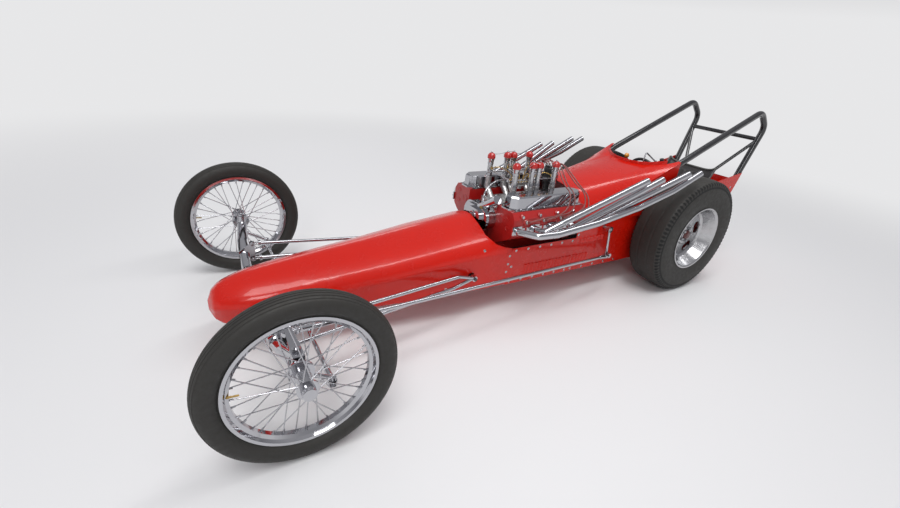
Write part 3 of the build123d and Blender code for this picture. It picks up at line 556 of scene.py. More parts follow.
class Host:
    """Finds the skin of a CAD node along a line, so that small things sit on it."""

    def __init__(self, node: str) -> None:
        """Read the triangles of the CAD node of that name into a tree."""
        mesh = frame["nodes"][node].data
        self.tree = BVHTree.FromPolygons(places_of(mesh).tolist(), triangles_of(mesh).tolist())

    def touch(self, start: Spot, way: Spot) -> tuple[np.ndarray, np.ndarray] | None:
        """Where a line from a point first meets the skin, and the skin's direction there.

        Args:
            start: Point that the line starts from, in metres.
            way: Direction of the line.

        Returns:
            Place and outward direction, or None if the line misses.
        """
        place, normal, _, _ = self.tree.ray_cast(Vector(start), Vector(way))
        if place is None:
            return None
        if normal.dot(Vector(way)) > 0:
            normal = -normal
        return np.array(place), np.array(normal)


# Wheels


@dataclass
class RearTyre:
    """Drag slick with a flat tread and a row of notches along each shoulder.

    Attributes:
        shoulder, turn, edge: Points of the section, each inward from the wall's widest place and
            down from the tread.
        ring: Raised ring on the wall: up from mid height, half breadth and height.
        groove: Groove round the tread: half spacing, half breadth and depth.
        notch: Middle inward from the wall, half breadth and depth.
        open_share: Share of each notch's pitch that is open.
        tread_from, dark_from: Radii above which a point is tread and a face may take the painted shade.
    """

    width: float = 226.0
    rim: float = 203.5
    rim_width: float = 218.0
    shoulder: Pair = (8.0, 20.0)
    turn: Pair = (17.0, 8.5)
    edge: Pair = (30.0, 4.0)
    ring: Triple = (22.0, 5.0, 1.2)
    ring_inset: float = 1.3
    groove: Triple = (32.0, 3.0, 1.6)
    notches: int = 90
    notch: Triple = (15.0, 7.5, 5.0)
    open_share: float = 0.45
    tread_from: float = 340.0
    dark_from: float = 330.0
    steps: int = 720

    def profile(self) -> np.ndarray:
        """Half section as a loop of distance across and radius, from arcs through three points.

        Returns:
            Rows of distance across the tyre and radius.
        """
        half, radius = self.width / 2, CAR.rear_radius
        inside, toe, heel = self.rim_width / 2 - 5.5, self.rim - 6.5, self.rim + 2
        shoulder, turn, edge = ((half - inward, radius - down)
                                for inward, down in (self.shoulder, self.turn, self.edge))
        middle = (heel + radius) / 2
        wall = arc((inside, heel), (half, middle), shoulder, 14)
        ring_up, ring_half, ring_high = self.ring
        lift = ring_high * np.exp(-((wall[:, 1] - middle - ring_up) / ring_half) ** 2)
        wall[:, 0] -= self.ring_inset - lift
        wall[0, 0] = inside
        bend = arc(shoulder, turn, edge, 9)
        bend[0, 0] -= 1.0
        crown = arc(edge, (0, radius), (-edge[0], edge[1]), 31)
        apart, groove_half, groove_deep = self.groove
        crown[:, 1] -= groove_deep * (np.abs(np.abs(crown[:, 0]) - apart) < groove_half)
        right = np.concatenate((wall[:-1], bend[:-1]))
        left = np.stack((-right[::-1, 0], right[::-1, 1]), -1)
        lip, roof, roof_in = inside - 12, radius - 30, inside - 22
        inner = ((-inside, toe), (-lip, toe), (-roof_in, roof), (roof_in, roof), (lip, toe),
                 (inside, toe))
        return np.concatenate((right, crown, left, inner))

    def build(self, side: Side) -> None:
        """Turn the profile and sink the notches.

        The radius drops by the notch depth where the angle lies in the open part of its pitch
        and the distance across lies on the shoulder.

        Args:
            side: Which rear tyre.
        """
        profile = self.profile()
        angle = np.linspace(0, 2 * np.pi, self.steps, endpoint=False)
        in_pitch = (angle * self.notches / (2 * np.pi)) % 1 < self.open_share
        inward, breadth, deep = self.notch
        off = np.abs(np.abs(profile[:, 0]) - (self.width / 2 - inward))
        on_shoulder = (off < breadth) & (profile[:, 1] > self.tread_from)
        radius = profile[None, :, 1] - deep * in_pitch[:, None] * on_shoulder[None]
        across = np.broadcast_to(profile[None, :, 0] * side.value, radius.shape)
        middle = CAR.spot(CAR.wheelbase, side.value * CAR.rear_track / 2, CAR.rear_radius)
        points = np.stack((
            middle[0] + radius * np.cos(angle)[:, None] / 1000, middle[1] + across / 1000,
            middle[2] + radius * np.sin(angle)[:, None] / 1000), -1)
        tyre = Skin().grid(points, True, True).piece(f"slick_{side.word}", RUBBER, "rear_axle", 50)
        tyre.data.materials.append(NOTCH_SHADE.material())
        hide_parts(f"tyre_rear_{side.word}")
        self.paint_notch_shade(tyre.data, np.array(middle) * 1000)

    def paint_notch_shade(self, mesh: bpy.types.Mesh, axle: np.ndarray) -> None:
        """Paint shade on the floors of the notches: they take a darker rubber that stands in for the shade in
        them.

        A face lies in a notch where its middle is on the shoulder and at least 2 mm lower than
        the smooth shoulder would be there.

        Args:
            mesh: The tyre's mesh.
            axle: Middle of the wheel in the frame, in millimetres.
        """
        middles = np.empty(len(mesh.polygons) * 3, np.float32)
        mesh.polygons.foreach_get("center", middles)
        away = middles.reshape(-1, 3) * 1000 - axle
        across, radius = np.abs(away[:, 1]), np.hypot(away[:, 0], away[:, 2])
        profile = self.profile()
        rise = profile[(profile[:, 0] > self.width / 4) & (profile[:, 1] > self.dark_from)]
        rise = rise[np.argsort(rise[:, 0])]
        smooth = np.interp(across, rise[:, 0], rise[:, 1])
        near = across > self.width / 2 - self.notch[0] - self.notch[1] - 1.5
        # dark marks the notch floors that take the painted shade.
        dark = near & (radius < smooth - 2.0) & (radius > self.dark_from)
        mesh.polygons.foreach_set("material_index", dark.astype(np.int32))


@dataclass
class FrontTyre:
    """Narrow ribbed tyre of a wire wheel.

    Attributes:
        tread_share, tread_down: Where the tread ends: share of the width, and down from its top.
        bead: Raised ring on the wall: up from the rim's heel, half breadth and height.
        groove_share: Half breadth of a groove as a share of a rib.
    """

    width: float = 86.0
    rim: float = 243.5
    rim_width: float = 54.0
    tread_share: float = 0.36
    tread_down: float = 9.0
    bead: Triple = (18.0, 3.0, 0.9)
    ribs: int = 6
    groove: float = 2.6
    groove_share: float = 0.11
    wall: float = 16.0
    steps: int = 180

    def build(self, side: Side) -> None:
        """Turn the half section, whose tread has a row of narrow grooves.

        Across the tread the radius drops by the groove's depth where the distance, counted in
        ribs, is close to a whole number.

        Args:
            side: Which front tyre.
        """
        radius, half = CAR.front_radius, self.width / 2
        toe, heel, inside = self.rim - 7, self.rim + 3, self.rim_width / 2 - 4.5
        tread = (self.width * self.tread_share, radius - self.tread_down)
        wall = arc((inside, heel), (half, (heel + radius) / 2 - 2), tread, 18)
        bead_up, bead_half, bead_high = self.bead
        bead = bead_high * np.exp(-((wall[:, 1] - heel - bead_up) / bead_half) ** 2)
        wall[1:-1, 0] -= bead_high - bead[1:-1]
        crown = arc(tread, (0, radius), (-tread[0], tread[1]), 61)
        share = (crown[:, 0] / tread[0] * 0.5 + 0.5) * self.ribs
        crown[:, 1] -= self.groove * (np.abs(share - np.round(share)) < self.groove_share)
        left = np.stack((-wall[::-1, 0], wall[::-1, 1]), -1)
        roof, lip = radius - self.wall, inside - 6
        inner = ((-inside, toe), (-lip, toe), (-lip, roof), (lip, roof), (lip, toe), (inside, toe))
        profile = np.concatenate((wall[:-1], crown, left[1:], inner))
        middle = CAR.spot(0, side.value * CAR.front_track / 2, radius)
        tyre = Skin().lathe(profile, middle, (0, 1, 0), self.steps, True).piece(
            f"ribbed_tyre_{side.word}", RUBBER, f"front_wheel_{side.word}", 40)
        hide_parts(f"tyre_front_{side.word}")


@dataclass
class WireWheelTrim:
    """Spoke nipples along the rim, and the valve stem."""

    spokes: int = 36
    stagger: float = 4.0
    seat: float = 217.5
    nipple: Profile = ((2, 0), (2, 4.2), (-6, 3.6), (-14, 3.0), (-15, 0))
    valve_turn: float = 0.087
    valve_left: float = 12.0
    valve: Profile = ((222, 4), (214, 4), (206, 3), (196, 3.5), (188, 3))

    def build(self, side: Side) -> None:
        """Stand a small cone on the rim at each spoke, and a valve between two of them.

        Args:
            side: Which front wheel.
        """
        skin, body = Skin(), f"front_wheel_{side.word}"
        for number in range(self.spokes):
            turn = 2 * math.pi * number / self.spokes
            offset = self.stagger if number % 2 == 0 else -self.stagger
            out = np.array((math.cos(turn), 0, math.sin(turn)))
            root = CAR.spot(0, side.value * (CAR.front_track / 2 + offset), CAR.front_radius)
            skin.lathe(self.nipple, root + out * self.seat / 1000, out, 8)
        skin.piece(f"spoke_nipples_{side.word}", STEEL, body)
        out = np.array((math.cos(self.valve_turn), 0, math.sin(self.valve_turn)))
        root = CAR.spot(0, side.value * (CAR.front_track / 2 + self.valve_left), CAR.front_radius)
        away, radius = np.array(self.valve).T
        Skin().pipe(root + out * away[:, None] / 1000, radius, 10).piece(
            f"valve_stem_{side.word}", BRASS, body)


@dataclass
class RearWheelTrim:
    """Wheel nuts, a ring of small bolts and the dark hub cap with its bright ring.

    Attributes:
        disc: The disc's outer face from the wheel's middle plane.
        nuts, bolts: Number, radius of their circle, height over the disc, size and head height.
    """

    disc: float = 20.0
    nuts: tuple[int, float, float, float, float] = (5, 44.0, 12.0, 10.5, 14.0)
    bolts: tuple[int, float, float, float, float] = (10, 146.0, 4.0, 5.5, 5.0)
    hub: float = 12.0
    cap: Profile = ((-2, 0), (-2, 30), (5, 30), (12, 27), (17, 20), (19, 10), (19, 0))
    ring: Profile = ((0, 31), (4, 31), (5.5, 33), (4, 35), (0, 35))

    def build(self, side: Side) -> None:
        """Set the nuts, the bolts and the cap on the wheel's disc.

        Args:
            side: Which rear wheel.
        """
        out = (0, side.value, 0)

        def on_disc(radius: float, turn: float, proud: float) -> Spot:
            """A place on the disc at a radius and an angle."""
            return CAR.spot(CAR.wheelbase - radius * math.cos(turn),
                            side.value * (CAR.rear_track / 2 + self.disc + proud),
                            CAR.rear_radius + radius * math.sin(turn))

        for stem, row in (("wheel_nuts", self.nuts), ("rim_bolts", self.bolts)):
            count, radius, proud, size, height = row
            heads = Skin()
            for number in range(count):
                turn = 2 * math.pi * (number + 0.5) / count
                heads.hexagon(on_disc(radius, turn, proud), out, size, height)
            heads.piece(f"{stem}_{side.word}", STEEL, "rear_axle", 20)
        middle = on_disc(0, 0, self.hub)
        Skin().lathe(self.cap, middle, out).piece(f"hub_cap_{side.word}", HUB_RED, "rear_axle")
        Skin().lathe(self.ring, middle, out, 40, True).piece(
            f"hub_ring_{side.word}", CHROME, "rear_axle")


# Steering and front end


@dataclass
class SteeringTrim:
    """Lock nuts on the rods, nuts on the kingpins and clevis bolts of the hairpins.

    Attributes:
        tie_nut, link_nut: How far from a rod's end its nut sits.
        nut, pin_nut, clevis_head: Radius over the corners and height.
        pin_top: Top of the kingpin above the wheel's middle.
        clevis: Behind, left, and half its breadth.
    """

    tie_arm: float = 118.0
    tie_up: float = 186.0
    steer_arm: float = 146.0
    link_rear: Spot = (1915.0, 312.0, 258.0)
    link_front_up: float = 337.3
    tie_nut: float = 22.0
    link_nut: float = 30.0
    nut: Pair = (15.5, 10.0)
    sleeve: Profile = ((0, 10.5), (3, 11.8), (50, 11.8), (53, 10.5))
    pin_top: float = 47.3
    pin_nut: Pair = (16.0, 10.0)
    stud: Profile = ((0, 0), (0, 7), (15, 7), (16, 6), (16, 0))
    clevis: Triple = (12.0, 400.0, 15.0)
    clevis_ups: Pair = (297.0, 213.0)
    clevis_head: Pair = (8.5, 6.0)

    def lock_nuts(self, body: str, first: Spot, last: Spot, back: float) -> None:
        """Put a lock nut and a sleeve near each end of a rod.

        Args:
            body: Body that carries the rod.
            first: One end of its line.
            last: The other end.
            back: How far from the end the nut sits.
        """
        skin = Skin()
        away, radius = np.array(self.sleeve, float).T
        ends = CAR.spots(np.array((first, last)))
        way = unit(ends[1] - ends[0])
        for end, inward in ((ends[0], way), (ends[1], -way)):
            skin.hexagon(end + inward * back / 1000, inward, *self.nut)
            start = end + inward * (back + self.nut[1]) / 1000
            skin.pipe(start + inward * away[:, None] / 1000, radius, 18)
        skin.piece(f"{body}_nuts", CHROME, body, 20)

    def build(self) -> None:
        """Dress the two rods, the kingpins and the hairpins' front ends."""
        half = CAR.kingpin_half
        self.lock_nuts("tie_rod", (self.tie_arm, half, self.tie_up),
                       (self.tie_arm, -half, self.tie_up), self.tie_nut)
        self.lock_nuts("drag_link", self.link_rear, (0, half - self.steer_arm, self.link_front_up),
                       self.link_nut)
        for side in Side:
            top = CAR.spot(0, side.value * half, CAR.front_radius + self.pin_top)
            Skin().hexagon(top, UP, *self.pin_nut).lathe(self.stud, top, UP, 16).piece(
                f"kingpin_nut_{side.word}", CHROME, f"knuckle_{side.word}", 20)
            bolts = Skin()
            behind, left, breadth = self.clevis
            for up in self.clevis_ups:
                for way in (side.value, -side.value):
                    spot = CAR.spot(behind, side.value * left + way * breadth, up)
                    bolts.hexagon(spot, (0, way, 0), *self.clevis_head)
            bolts.piece(f"clevis_bolts_{side.word}", STEEL, "chassis", 20)


# Engine


@dataclass
class EngineDress:
    """Bolts, plugs, bosses, fuel lines, throttle shafts and the magneto's cap on the V8.

    Attributes:
        ports: How far behind the engine's front each exhaust port is.
        plug_step, bolt_step: Distance from a port back to its plug, and to its flange's bolts.
        head_bolt: How far ahead of a plug it is, its height and the height of its boss.
        lever: Its two ends from the shaft: behind the stack, outwards and up.
        bridge: How far behind the shafts' front ends the rod across is, its height above them
            and that of its arms.
        magneto_ups: Heights of the cap's foot, the towers' feet and the band.
        line_start, line_end: A fuel line's ends: ahead of the block's middle, step from stack to
            stack, left and up; inward of the stack and up.
        fuel_back: How far behind the engine's front the fuel block's middle is.
        pump_ahead: How far ahead of the engine the pump's bolts and its hub are.
        flat: Least upward share of the manifold's face under a bolt.
        fittings: Place, direction and height of each end of the feed line.
        wire_up, wire_sag, wire_bow: Ends above the stack's top, sag and bow outwards.
    """

    ports: tuple[float, ...] = (22.0, 137.0, 257.0, 372.0)
    port_up: float = 505.0
    plug_step: float = 58.0
    plug_up: float = 541.0
    boss_up: float = 539.0
    bolt_step: float = 25.0
    head_bolt: Triple = (27.0, 572.0, 570.0)
    rib_ups: Pair = (486.0, 526.0)
    rib: tuple[float, ...] = (3, 7, 8, 7, 4)
    head_outer: float = 285.0
    cover_inner: float = 143.0
    cover_outer: float = 246.0
    cover_bolts: int = 6
    cover_end: float = 60.0
    gasket_out: float = 9.0
    shaft_up: float = 700.0
    shaft_in: float = 21.0
    shaft_ends: Pair = (34.0, 30.0)
    lever: tuple[Triple, Triple] = ((12, 0, -2), (20, -2, 30))
    bridge: Triple = (6.0, 12.0, 16.0)
    magneto_behind: float = 1600.0
    magneto_ups: Triple = (700.0, 734.0, 680.0)
    fuel_back: float = 240.0
    line_start: tuple[float, float, float, float] = (22.0, 18.0, 18.0, 662.0)
    line_end: Pair = (15.0, 716.0)
    line_arch: float = 34.0
    pump_ahead: Pair = (46.0, 74.0)
    valley_foot: Triple = (26.0, 0.0, 530.0)
    towers: int = 8
    tower_circle: float = 26.0
    pump_left: float = 22.0
    pump_up: float = 503.0
    pump_bolts: Profile = ((100, 26), (70, 44), (22, 50), (-30, 50), (-70, 40))
    manifold_left: float = 66.0
    manifold_ends: Pair = (62.0, 76.0)
    flat: float = 0.8
    fittings: tuple[tuple[Spot, Triple, float], ...] = (
        ((1098, 60, 544), (0.1, 0, 1), 20), ((1320, 0, 664), (0.75, 0, 0.66), 18))
    ring_ups: Pair = (682.0, 744.0)
    wire_up: float = 34.0
    wire_sag: float = 0.7
    wire_bow: float = 24.0
    insulator: Profile = ((10, 0), (10, 6.0), (14, 6.8), (16, 5.6), (19, 6.6), (21, 5.4),
                          (26, 5.0), (26, 0))
    boot: Profile = ((20, 0), (20, 7.4), (24, 8.2), (32, 7.0), (37, 5.2), (38, 0))
    boss: Profile = ((-2, 0), (-2, 23), (3, 22), (9, 17), (11, 15), (11, 0))
    low_boss: Profile = ((-2, 0), (-2, 15), (4, 14), (7, 11), (7, 0))
    cores: tuple[Triple, ...] = ((172, 528, 20), (236, 560, 13), (236, 500, 13))
    cap: Profile = ((26, 0), (26, 38), (33, 37), (37, 32), (39, 20), (39, 0))
    tower: Profile = ((0, 0), (0, 7.5), (12, 6.5), (16, 6.5), (17, 5), (17, 0))
    band: Profile = ((-4, 50), (-4, 52), (4, 52), (4, 50))
    clamp: Profile = ((-6, 4), (-6, 8), (6, 8), (6, 4))
    fuel_body: Profile = ((0, 0), (0, 17), (4, 20), (70, 20), (74, 17), (74, 0))
    fuel_post: Profile = ((0, 0), (0, 12), (40, 9), (42, 0))
    pump_ring: Profile = ((0, 20), (3, 20), (4, 24), (3, 27), (0, 27))
    lid: Profile = ((0, 0), (0, 33), (3, 36), (10, 36), (13, 33), (13, 0))
    lid_boss: Profile = ((12, 0), (12, 19), (30, 17), (34, 13), (34, 0))
    stack_ring: Profile = ((-5, 15), (-5, 17), (5, 17), (5, 15))
    stack_knob: Profile = ((31, 0), (31, 5), (35, 5), (37, 3), (37, 0))
    feed: tuple[Spot, ...] = ((1098, 60, 548), (1094, 62, 640), (1120, 40, 684), (1240, 8, 700),
                              (1318, 0, 668))

    def plug_spots(self) -> list[float]:
        """How far back each spark plug stands, beside its exhaust port."""
        return [CAR.engine_front + port + self.plug_step for port in self.ports]

    def flange_bolts(self) -> None:
        """Two bolts on each exhaust flange, and a row along each valve cover's flange."""
        skin = Skin()
        for side in Side:
            for port in self.ports:
                for step in (-self.bolt_step, self.bolt_step):
                    spot = CAR.spot(CAR.engine_front + port + step,
                                    side.value * (self.head_outer + 8), self.port_up)
                    skin.hexagon(spot, (0, side.value, 0), 6.2, 6)
            for behind in np.linspace(CAR.engine_front + self.cover_end,
                                      CAR.engine_rear - self.cover_end, self.cover_bolts):
                for left in (self.cover_inner - 4, self.cover_outer + 4):
                    spot = CAR.spot(behind, side.value * left, CAR.head_top + 7)
                    skin.hexagon(spot, UP, 5.2, 4)
        skin.piece("engine_bolts", CHROME, soft=20)

    def plugs(self) -> None:
        """Four plugs a side: a steel hexagon, a ribbed white insulator and a red boot."""
        steel, white, boots = Skin(), Skin(), Skin()
        for side in Side:
            way = (0, side.value, 0.45)
            for behind in self.plug_spots():
                seat = CAR.spot(behind, side.value * (self.head_outer - 1), self.plug_up)
                steel.hexagon(seat, way, 10.5, 12)
                white.lathe(self.insulator, seat, way, 14)
                boots.lathe(self.boot, seat, way, 14)
        steel.piece("plug_hexagons", STEEL, soft=20)
        white.piece("plug_insulators", PORCELAIN)
        boots.piece("plug_boots", LEAD_RED)

    def castings(self) -> None:
        """Cast bosses round the plugs, ribs by the ports, core plugs and the gaskets' edges."""
        red, bolts, cores, gasket = Skin(), Skin(), Skin(), Skin()
        for side in Side:
            sign, out = side.value, (0, side.value, 0.25)
            step, bolt_up, low_up = self.head_bolt
            for behind in self.plug_spots():
                boss = CAR.spot(behind, sign * (self.head_outer - 5), self.boss_up)
                red.lathe(self.boss, boss, out, 24)
                bolt = CAR.spot(behind - step, sign * (self.head_outer - 1), bolt_up)
                bolts.hexagon(bolt, out, 8.5, 8)
                low = CAR.spot(behind - step, sign * (self.head_outer - 6), low_up)
                red.lathe(self.low_boss, low, out, 20)
                face, (foot, top) = sign * (self.head_outer + 1), self.rib_ups
                red.rod((behind, face, foot), (behind, face, top), self.rib)
            for left, up, size in self.cores:
                cup = ((-1, 0), (-1, size), (2, size), (2, size - 2), (0.6, size - 3), (0.6, 0))
                cores.lathe(cup, CAR.spot(CAR.engine_front, sign * left, up), FORWARD, 28)
            for left in (self.cover_outer + self.gasket_out, self.cover_inner - self.gasket_out):
                gasket.rod((CAR.engine_front + 12, sign * left, CAR.head_top),
                           (CAR.engine_rear - 12, sign * left, CAR.head_top), 2.2, 8)
        red.piece("head_bosses", ENGINE_RED)
        bolts.piece("head_bolts", CHROME, soft=20)
        cores.piece("core_plugs", ENGINE_RED, soft=25)
        gasket.piece("cover_gaskets", CAP_BLACK)

    def magneto_cap(self) -> None:
        """Cap with eight towers in a ring, and a clamp band below it."""
        behind, towers = self.magneto_behind, Skin()
        foot, seat, middle = self.magneto_ups
        Skin().lathe(self.cap, CAR.spot(behind, 0, foot), UP, 40).piece("magneto_cap", CAP_BLACK)
        for number in range(self.towers):
            turn = 2 * math.pi * (number + 0.5) / self.towers
            x, y = math.cos(turn), math.sin(turn)
            spot = CAR.spot(behind - self.tower_circle * x, self.tower_circle * y, seat)
            towers.lathe(self.tower, spot, (0.25 * x, 0.25 * y, 1), 12)
        towers.piece("magneto_towers", CAP_BLACK)
        Skin().lathe(self.band, CAR.spot(behind, 0, middle), UP, 44, True).piece(
            "magneto_band", STEEL)

    def throttle(self) -> None:
        """A shaft along each bank of stacks, a lever at each stack and a rod across."""
        shafts, levers = Skin(), Skin()
        first, last = CAR.stacks[0] - self.shaft_ends[0], CAR.stacks[-1] + self.shaft_ends[1]
        half, up = CAR.stack_left - self.shaft_in, self.shaft_up
        back, rod_up, arm_up = self.bridge
        for side in Side:
            left = side.value * half
            shafts.rod((first, left, up), (last, left, up), 3.8)
            for behind in CAR.stacks:
                foot, top = np.array((behind, left, up)) + np.array(self.lever) * (1, side.value, 1)
                levers.rod(foot, top, (5.2, 4.0, 4.2), 10)
                clamp = CAR.spot(behind + self.lever[0][0], left, up)
                levers.lathe(self.clamp, clamp, FORWARD, 16, True)
        end = first + back
        shafts.rod((end, -half, up + rod_up), (end, half, up + rod_up), 3.4)
        for left in (half, -half):
            levers.rod((end, left, up - 4), (end, left, up + arm_up), 5, 10)
        shafts.piece("throttle_shafts", CHROME)
        levers.piece("throttle_levers", POLISHED)

    def fuel_rails(self) -> None:
        """Fuel block in the valley with a thin line arching out to each stack.

        A line runs from the block to the stack along a straight run on plan, and rises between
        them by a parabola.
        """
        block, lines, nozzles = Skin(), Skin(), Skin()
        middle = CAR.engine_front + self.fuel_back
        block.lathe(self.fuel_body, CAR.spot(middle + 40, 0, 655), FORWARD, 28)
        block.lathe(self.fuel_post, CAR.spot(middle + 4, 0, 622), UP, 18)
        share = np.linspace(0, 1, 24)
        ahead, step, left, foot = self.line_start
        inward, top = self.line_end
        for number, behind in enumerate(CAR.stacks):
            for side in Side:
                start = np.array((middle - ahead + step * number, side.value * left, foot))
                end = np.array((behind, side.value * (CAR.stack_left - inward), top))
                path = start + share[:, None] * (end - start)
                path[:, 2] += 4 * self.line_arch * share * (1 - share)
                lines.pipe(CAR.spots(path), 2.6, 8)
                nozzles.hexagon(CAR.spot(behind, side.value * (CAR.stack_left - 14), 715),
                                (0, -side.value, 0.35), 7, 12)
        block.piece("fuel_block", CAST)
        lines.piece("fuel_lines", BRASS)
        nozzles.piece("fuel_nozzles", BRASS, soft=20)

    def pump_front(self) -> None:
        """Bolts round the pump housing, and a nut with a bright ring on its hub."""
        skin, (face, end) = Skin(), self.pump_ahead
        for wide, high in self.pump_bolts:
            for flip in (1, -1):
                spot = CAR.spot(CAR.engine_front - face, self.pump_left + wide,
                                self.pump_up + flip * high * 0.92)
                skin.hexagon(spot, FORWARD, 5.8, 5)
        hub = CAR.spot(CAR.engine_front - end, self.pump_left, self.pump_up)
        skin.hexagon(hub, FORWARD, 17, 8).piece("pump_bolts", STEEL, soft=20)
        Skin().lathe(self.pump_ring, hub, FORWARD, 36, True).piece("pump_ring", CHROME)

    def valley(self) -> None:
        """Bright cover over the front of the valley with a round boss."""
        back, left, up = self.valley_foot
        foot = CAR.spot(CAR.engine_front + back, left, up)
        Skin().lathe(self.lid, foot, UP, 40).lathe(self.lid_boss, foot, UP).piece(
            "valley_boss", POLISHED, soft=25)

    def manifold_dress(self) -> None:
        """Bolts along the manifold's plate, and the feed line from the pump to the fuel block."""
        plate, bolts = Host("intake_manifold"), Skin()
        first, last = self.manifold_ends
        for behind in np.linspace(CAR.engine_front + first, CAR.engine_rear - last, 6):
            for left in (-self.manifold_left, self.manifold_left):
                found = plate.touch(CAR.spot(behind, left, 640), (0, 0, -1))
                if found and found[1][2] > self.flat:
                    bolts.hexagon(found[0], UP, 6.2, 5)
        if bolts.points:
            bolts.piece("manifold_bolts", STEEL, soft=20)
        Skin().pipe(CAR.spots(bezier(self.feed, 32)), 5.2).piece("fuel_feed", CHROME)
        ends = Skin()
        for place, way, height in self.fittings:
            ends.hexagon(CAR.spot(*place), way, 10.5, height)
        ends.piece("feed_fittings", BRASS, soft=20)

    def stack_dress(self) -> None:
        """Clamp rings and a cap stud on each stack, and a thin wire between the red caps.

        Each wire hangs between two caps as a parabola and bows outwards by half a sine wave.
        """
        rings, wires, tabs = Skin(), Skin(), Skin()
        share = np.linspace(0, 1, 14)
        for side in Side:
            left = side.value * CAR.stack_left
            for behind in CAR.stacks:
                for up in self.ring_ups:
                    rings.lathe(self.stack_ring, CAR.spot(behind, left, up), UP, 24, True)
                tabs.lathe(self.stack_knob, CAR.spot(behind, left, CAR.stack_top), UP, 14)
            for near, far in zip(CAR.stacks[:-1], CAR.stacks[1:]):
                gap, bow = far - near, side.value * self.wire_bow * np.sin(np.pi * share)
                drop = self.wire_sag * gap * share * (1 - share)
                path = np.stack((near + share * gap, left + bow,
                                 CAR.stack_top + self.wire_up - drop), -1)
                wires.pipe(CAR.spots(path), 1.2, 6)
        rings.piece("stack_clamps", CHROME)
        wires.piece("cap_wires", STEEL)
        tabs.piece("cap_studs", STEEL)

    def build(self) -> None:
        """Dress the whole engine."""
        for step in (self.flange_bolts, self.plugs, self.castings, self.magneto_cap,
                     self.throttle, self.fuel_rails, self.pump_front, self.valley,
                     self.manifold_dress, self.stack_dress):
            step()


@dataclass
class ExhaustSootAndShade:
    """Dull black soot inside the open end of each exhaust pipe, and a black floor deep in the bore that is painted
    shade where the pipe runs on.

    Attributes:
        runs: The last bend and the tip of each pipe on the left-hand side.
    """

    bore: float = 15.4
    wall: float = 0.5
    depth: float = 78.0
    runs: tuple[tuple[Spot, Spot], ...] = (
        ((2115, 460, 697), (2320, 468, 792)),
        ((1375, 378, 552), (1897, 436, 764)),
        ((1500, 362, 515), (2012, 446, 768)),
        ((1897, 428, 664), (2212, 464, 792)),
    )

    def build(self) -> None:
        """Line each bore with a thin cup of soot whose black floor, deep in the pipe, is painted shade."""
        skin, wall, floor = Skin(), self.bore - self.wall, self.depth - 1
        cup = ((floor, 0), (floor, wall), (2, wall), (2, self.bore), (self.depth, self.bore),
               (self.depth, 0))
        for side in Side:
            for run in self.runs:
                bend, tip = CAR.spots(np.array(run, float) * (1, side.value, 1))
                skin.lathe(cup, tip, bend - tip)
        skin.piece("exhaust_soot_and_shade", SOOT_AND_SHADE)


@dataclass
class PlugLeads:
    """Eight leads from the magneto's cap over the valve covers to the plugs.

    Attributes:
        diameter: In metres.
        routes: Control points of each left-hand lead, given one by one.
    """

    diameter: float = 0.007
    routes: tuple[tuple[Spot, ...], ...] = (
        ((1592, 24, 744), (1590, 40, 776), (1566, 110, 738), (1544, 186, 684), (1526, 262, 668),
         (1500, 292, 600), (1440, 302, 566), (1330, 306, 562), (1244, 330, 566), (1223, 308, 552)),
        ((1606, 24, 744), (1610, 42, 780), (1584, 114, 744), (1562, 192, 686), (1548, 264, 669),
         (1538, 298, 606), (1500, 308, 574), (1420, 312, 570), (1358, 332, 568), (1338, 308, 552)),
        ((1622, 12, 744), (1632, 40, 780), (1620, 118, 738), (1622, 200, 686), (1624, 266, 668),
         (1616, 300, 604), (1570, 312, 578), (1510, 316, 572), (1476, 332, 568), (1458, 308, 552)),
        ((1628, 4, 744), (1648, 36, 770), (1652, 112, 730), (1652, 200, 680), (1652, 270, 650),
         (1642, 300, 606), (1622, 314, 578), (1604, 322, 572), (1584, 330, 566), (1573, 308, 552)),
    )

    def curve(self, name: str, points: np.ndarray, bevel: float) -> bpy.types.Object:
        """Curve object of one open NURBS spline.

        Args:
            name: Its name.
            points: Control points in metres.
            bevel: Radius of its tube in metres.

        Returns:
            The curve's object, linked to the scene.
        """
        data = bpy.data.curves.new(name, "CURVE")
        data.dimensions = "3D"
        data.bevel_depth, data.bevel_resolution = bevel, 2
        data.resolution_u = 8
        data.use_fill_caps = True
        spline = data.splines.new("NURBS")
        spline.points.add(len(points) - 1)
        spline.points.foreach_set("co", np.c_[points, np.ones(len(points))].ravel())
        spline.order_u = 3
        spline.use_endpoint_u = True
        return linked(name, data)

    def length(self, points: np.ndarray) -> float:
        """Length in metres of the spline of those points, from a mesh of its bare line."""
        bare = self.curve("lead_line", points, 0.0)
        places = places_of(bpy.data.meshes.new_from_object(bare))
        bpy.data.objects.remove(bare)
        return float(np.linalg.norm(np.diff(places, axis=0), axis=1).sum())

    def build(self) -> None:
        for side in Side:
            for number, route in enumerate(self.routes, 1):
                points = CAR.spots(np.array(route, float) * (1, side.value, 1))
                lead = self.curve(f"plug_lead_{side.word}_{number}", points, self.diameter / 2)
                lead.data.materials.append(LEAD_RED.material())
                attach(lead, "chassis")
                length = self.length(points)
                log.info("%s is %.3f m long", lead.name, length)


# Body and cockpit


def smooth_skin(node: str, name: str, finish: Finish, soft: float) -> None:
    """Show a CAD node with its wide curves shaded smooth, on a copy of its triangles.

    Args:
        node: The CAD node.
        name: Name of the piece that takes its place.
        finish: Its finish.
        soft: Edges up to this angle in degrees are shaded smooth.
    """
    mesh = frame["nodes"][node].data
    skin = Skin()
    skin.points.append(places_of(mesh))
    skin.faces.append(triangles_of(mesh))
    made = skin.piece(name, finish, soft=soft)
    made.modifiers.new("even_normals", "WEIGHTED_NORMAL").keep_sharp = True
    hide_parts(node)


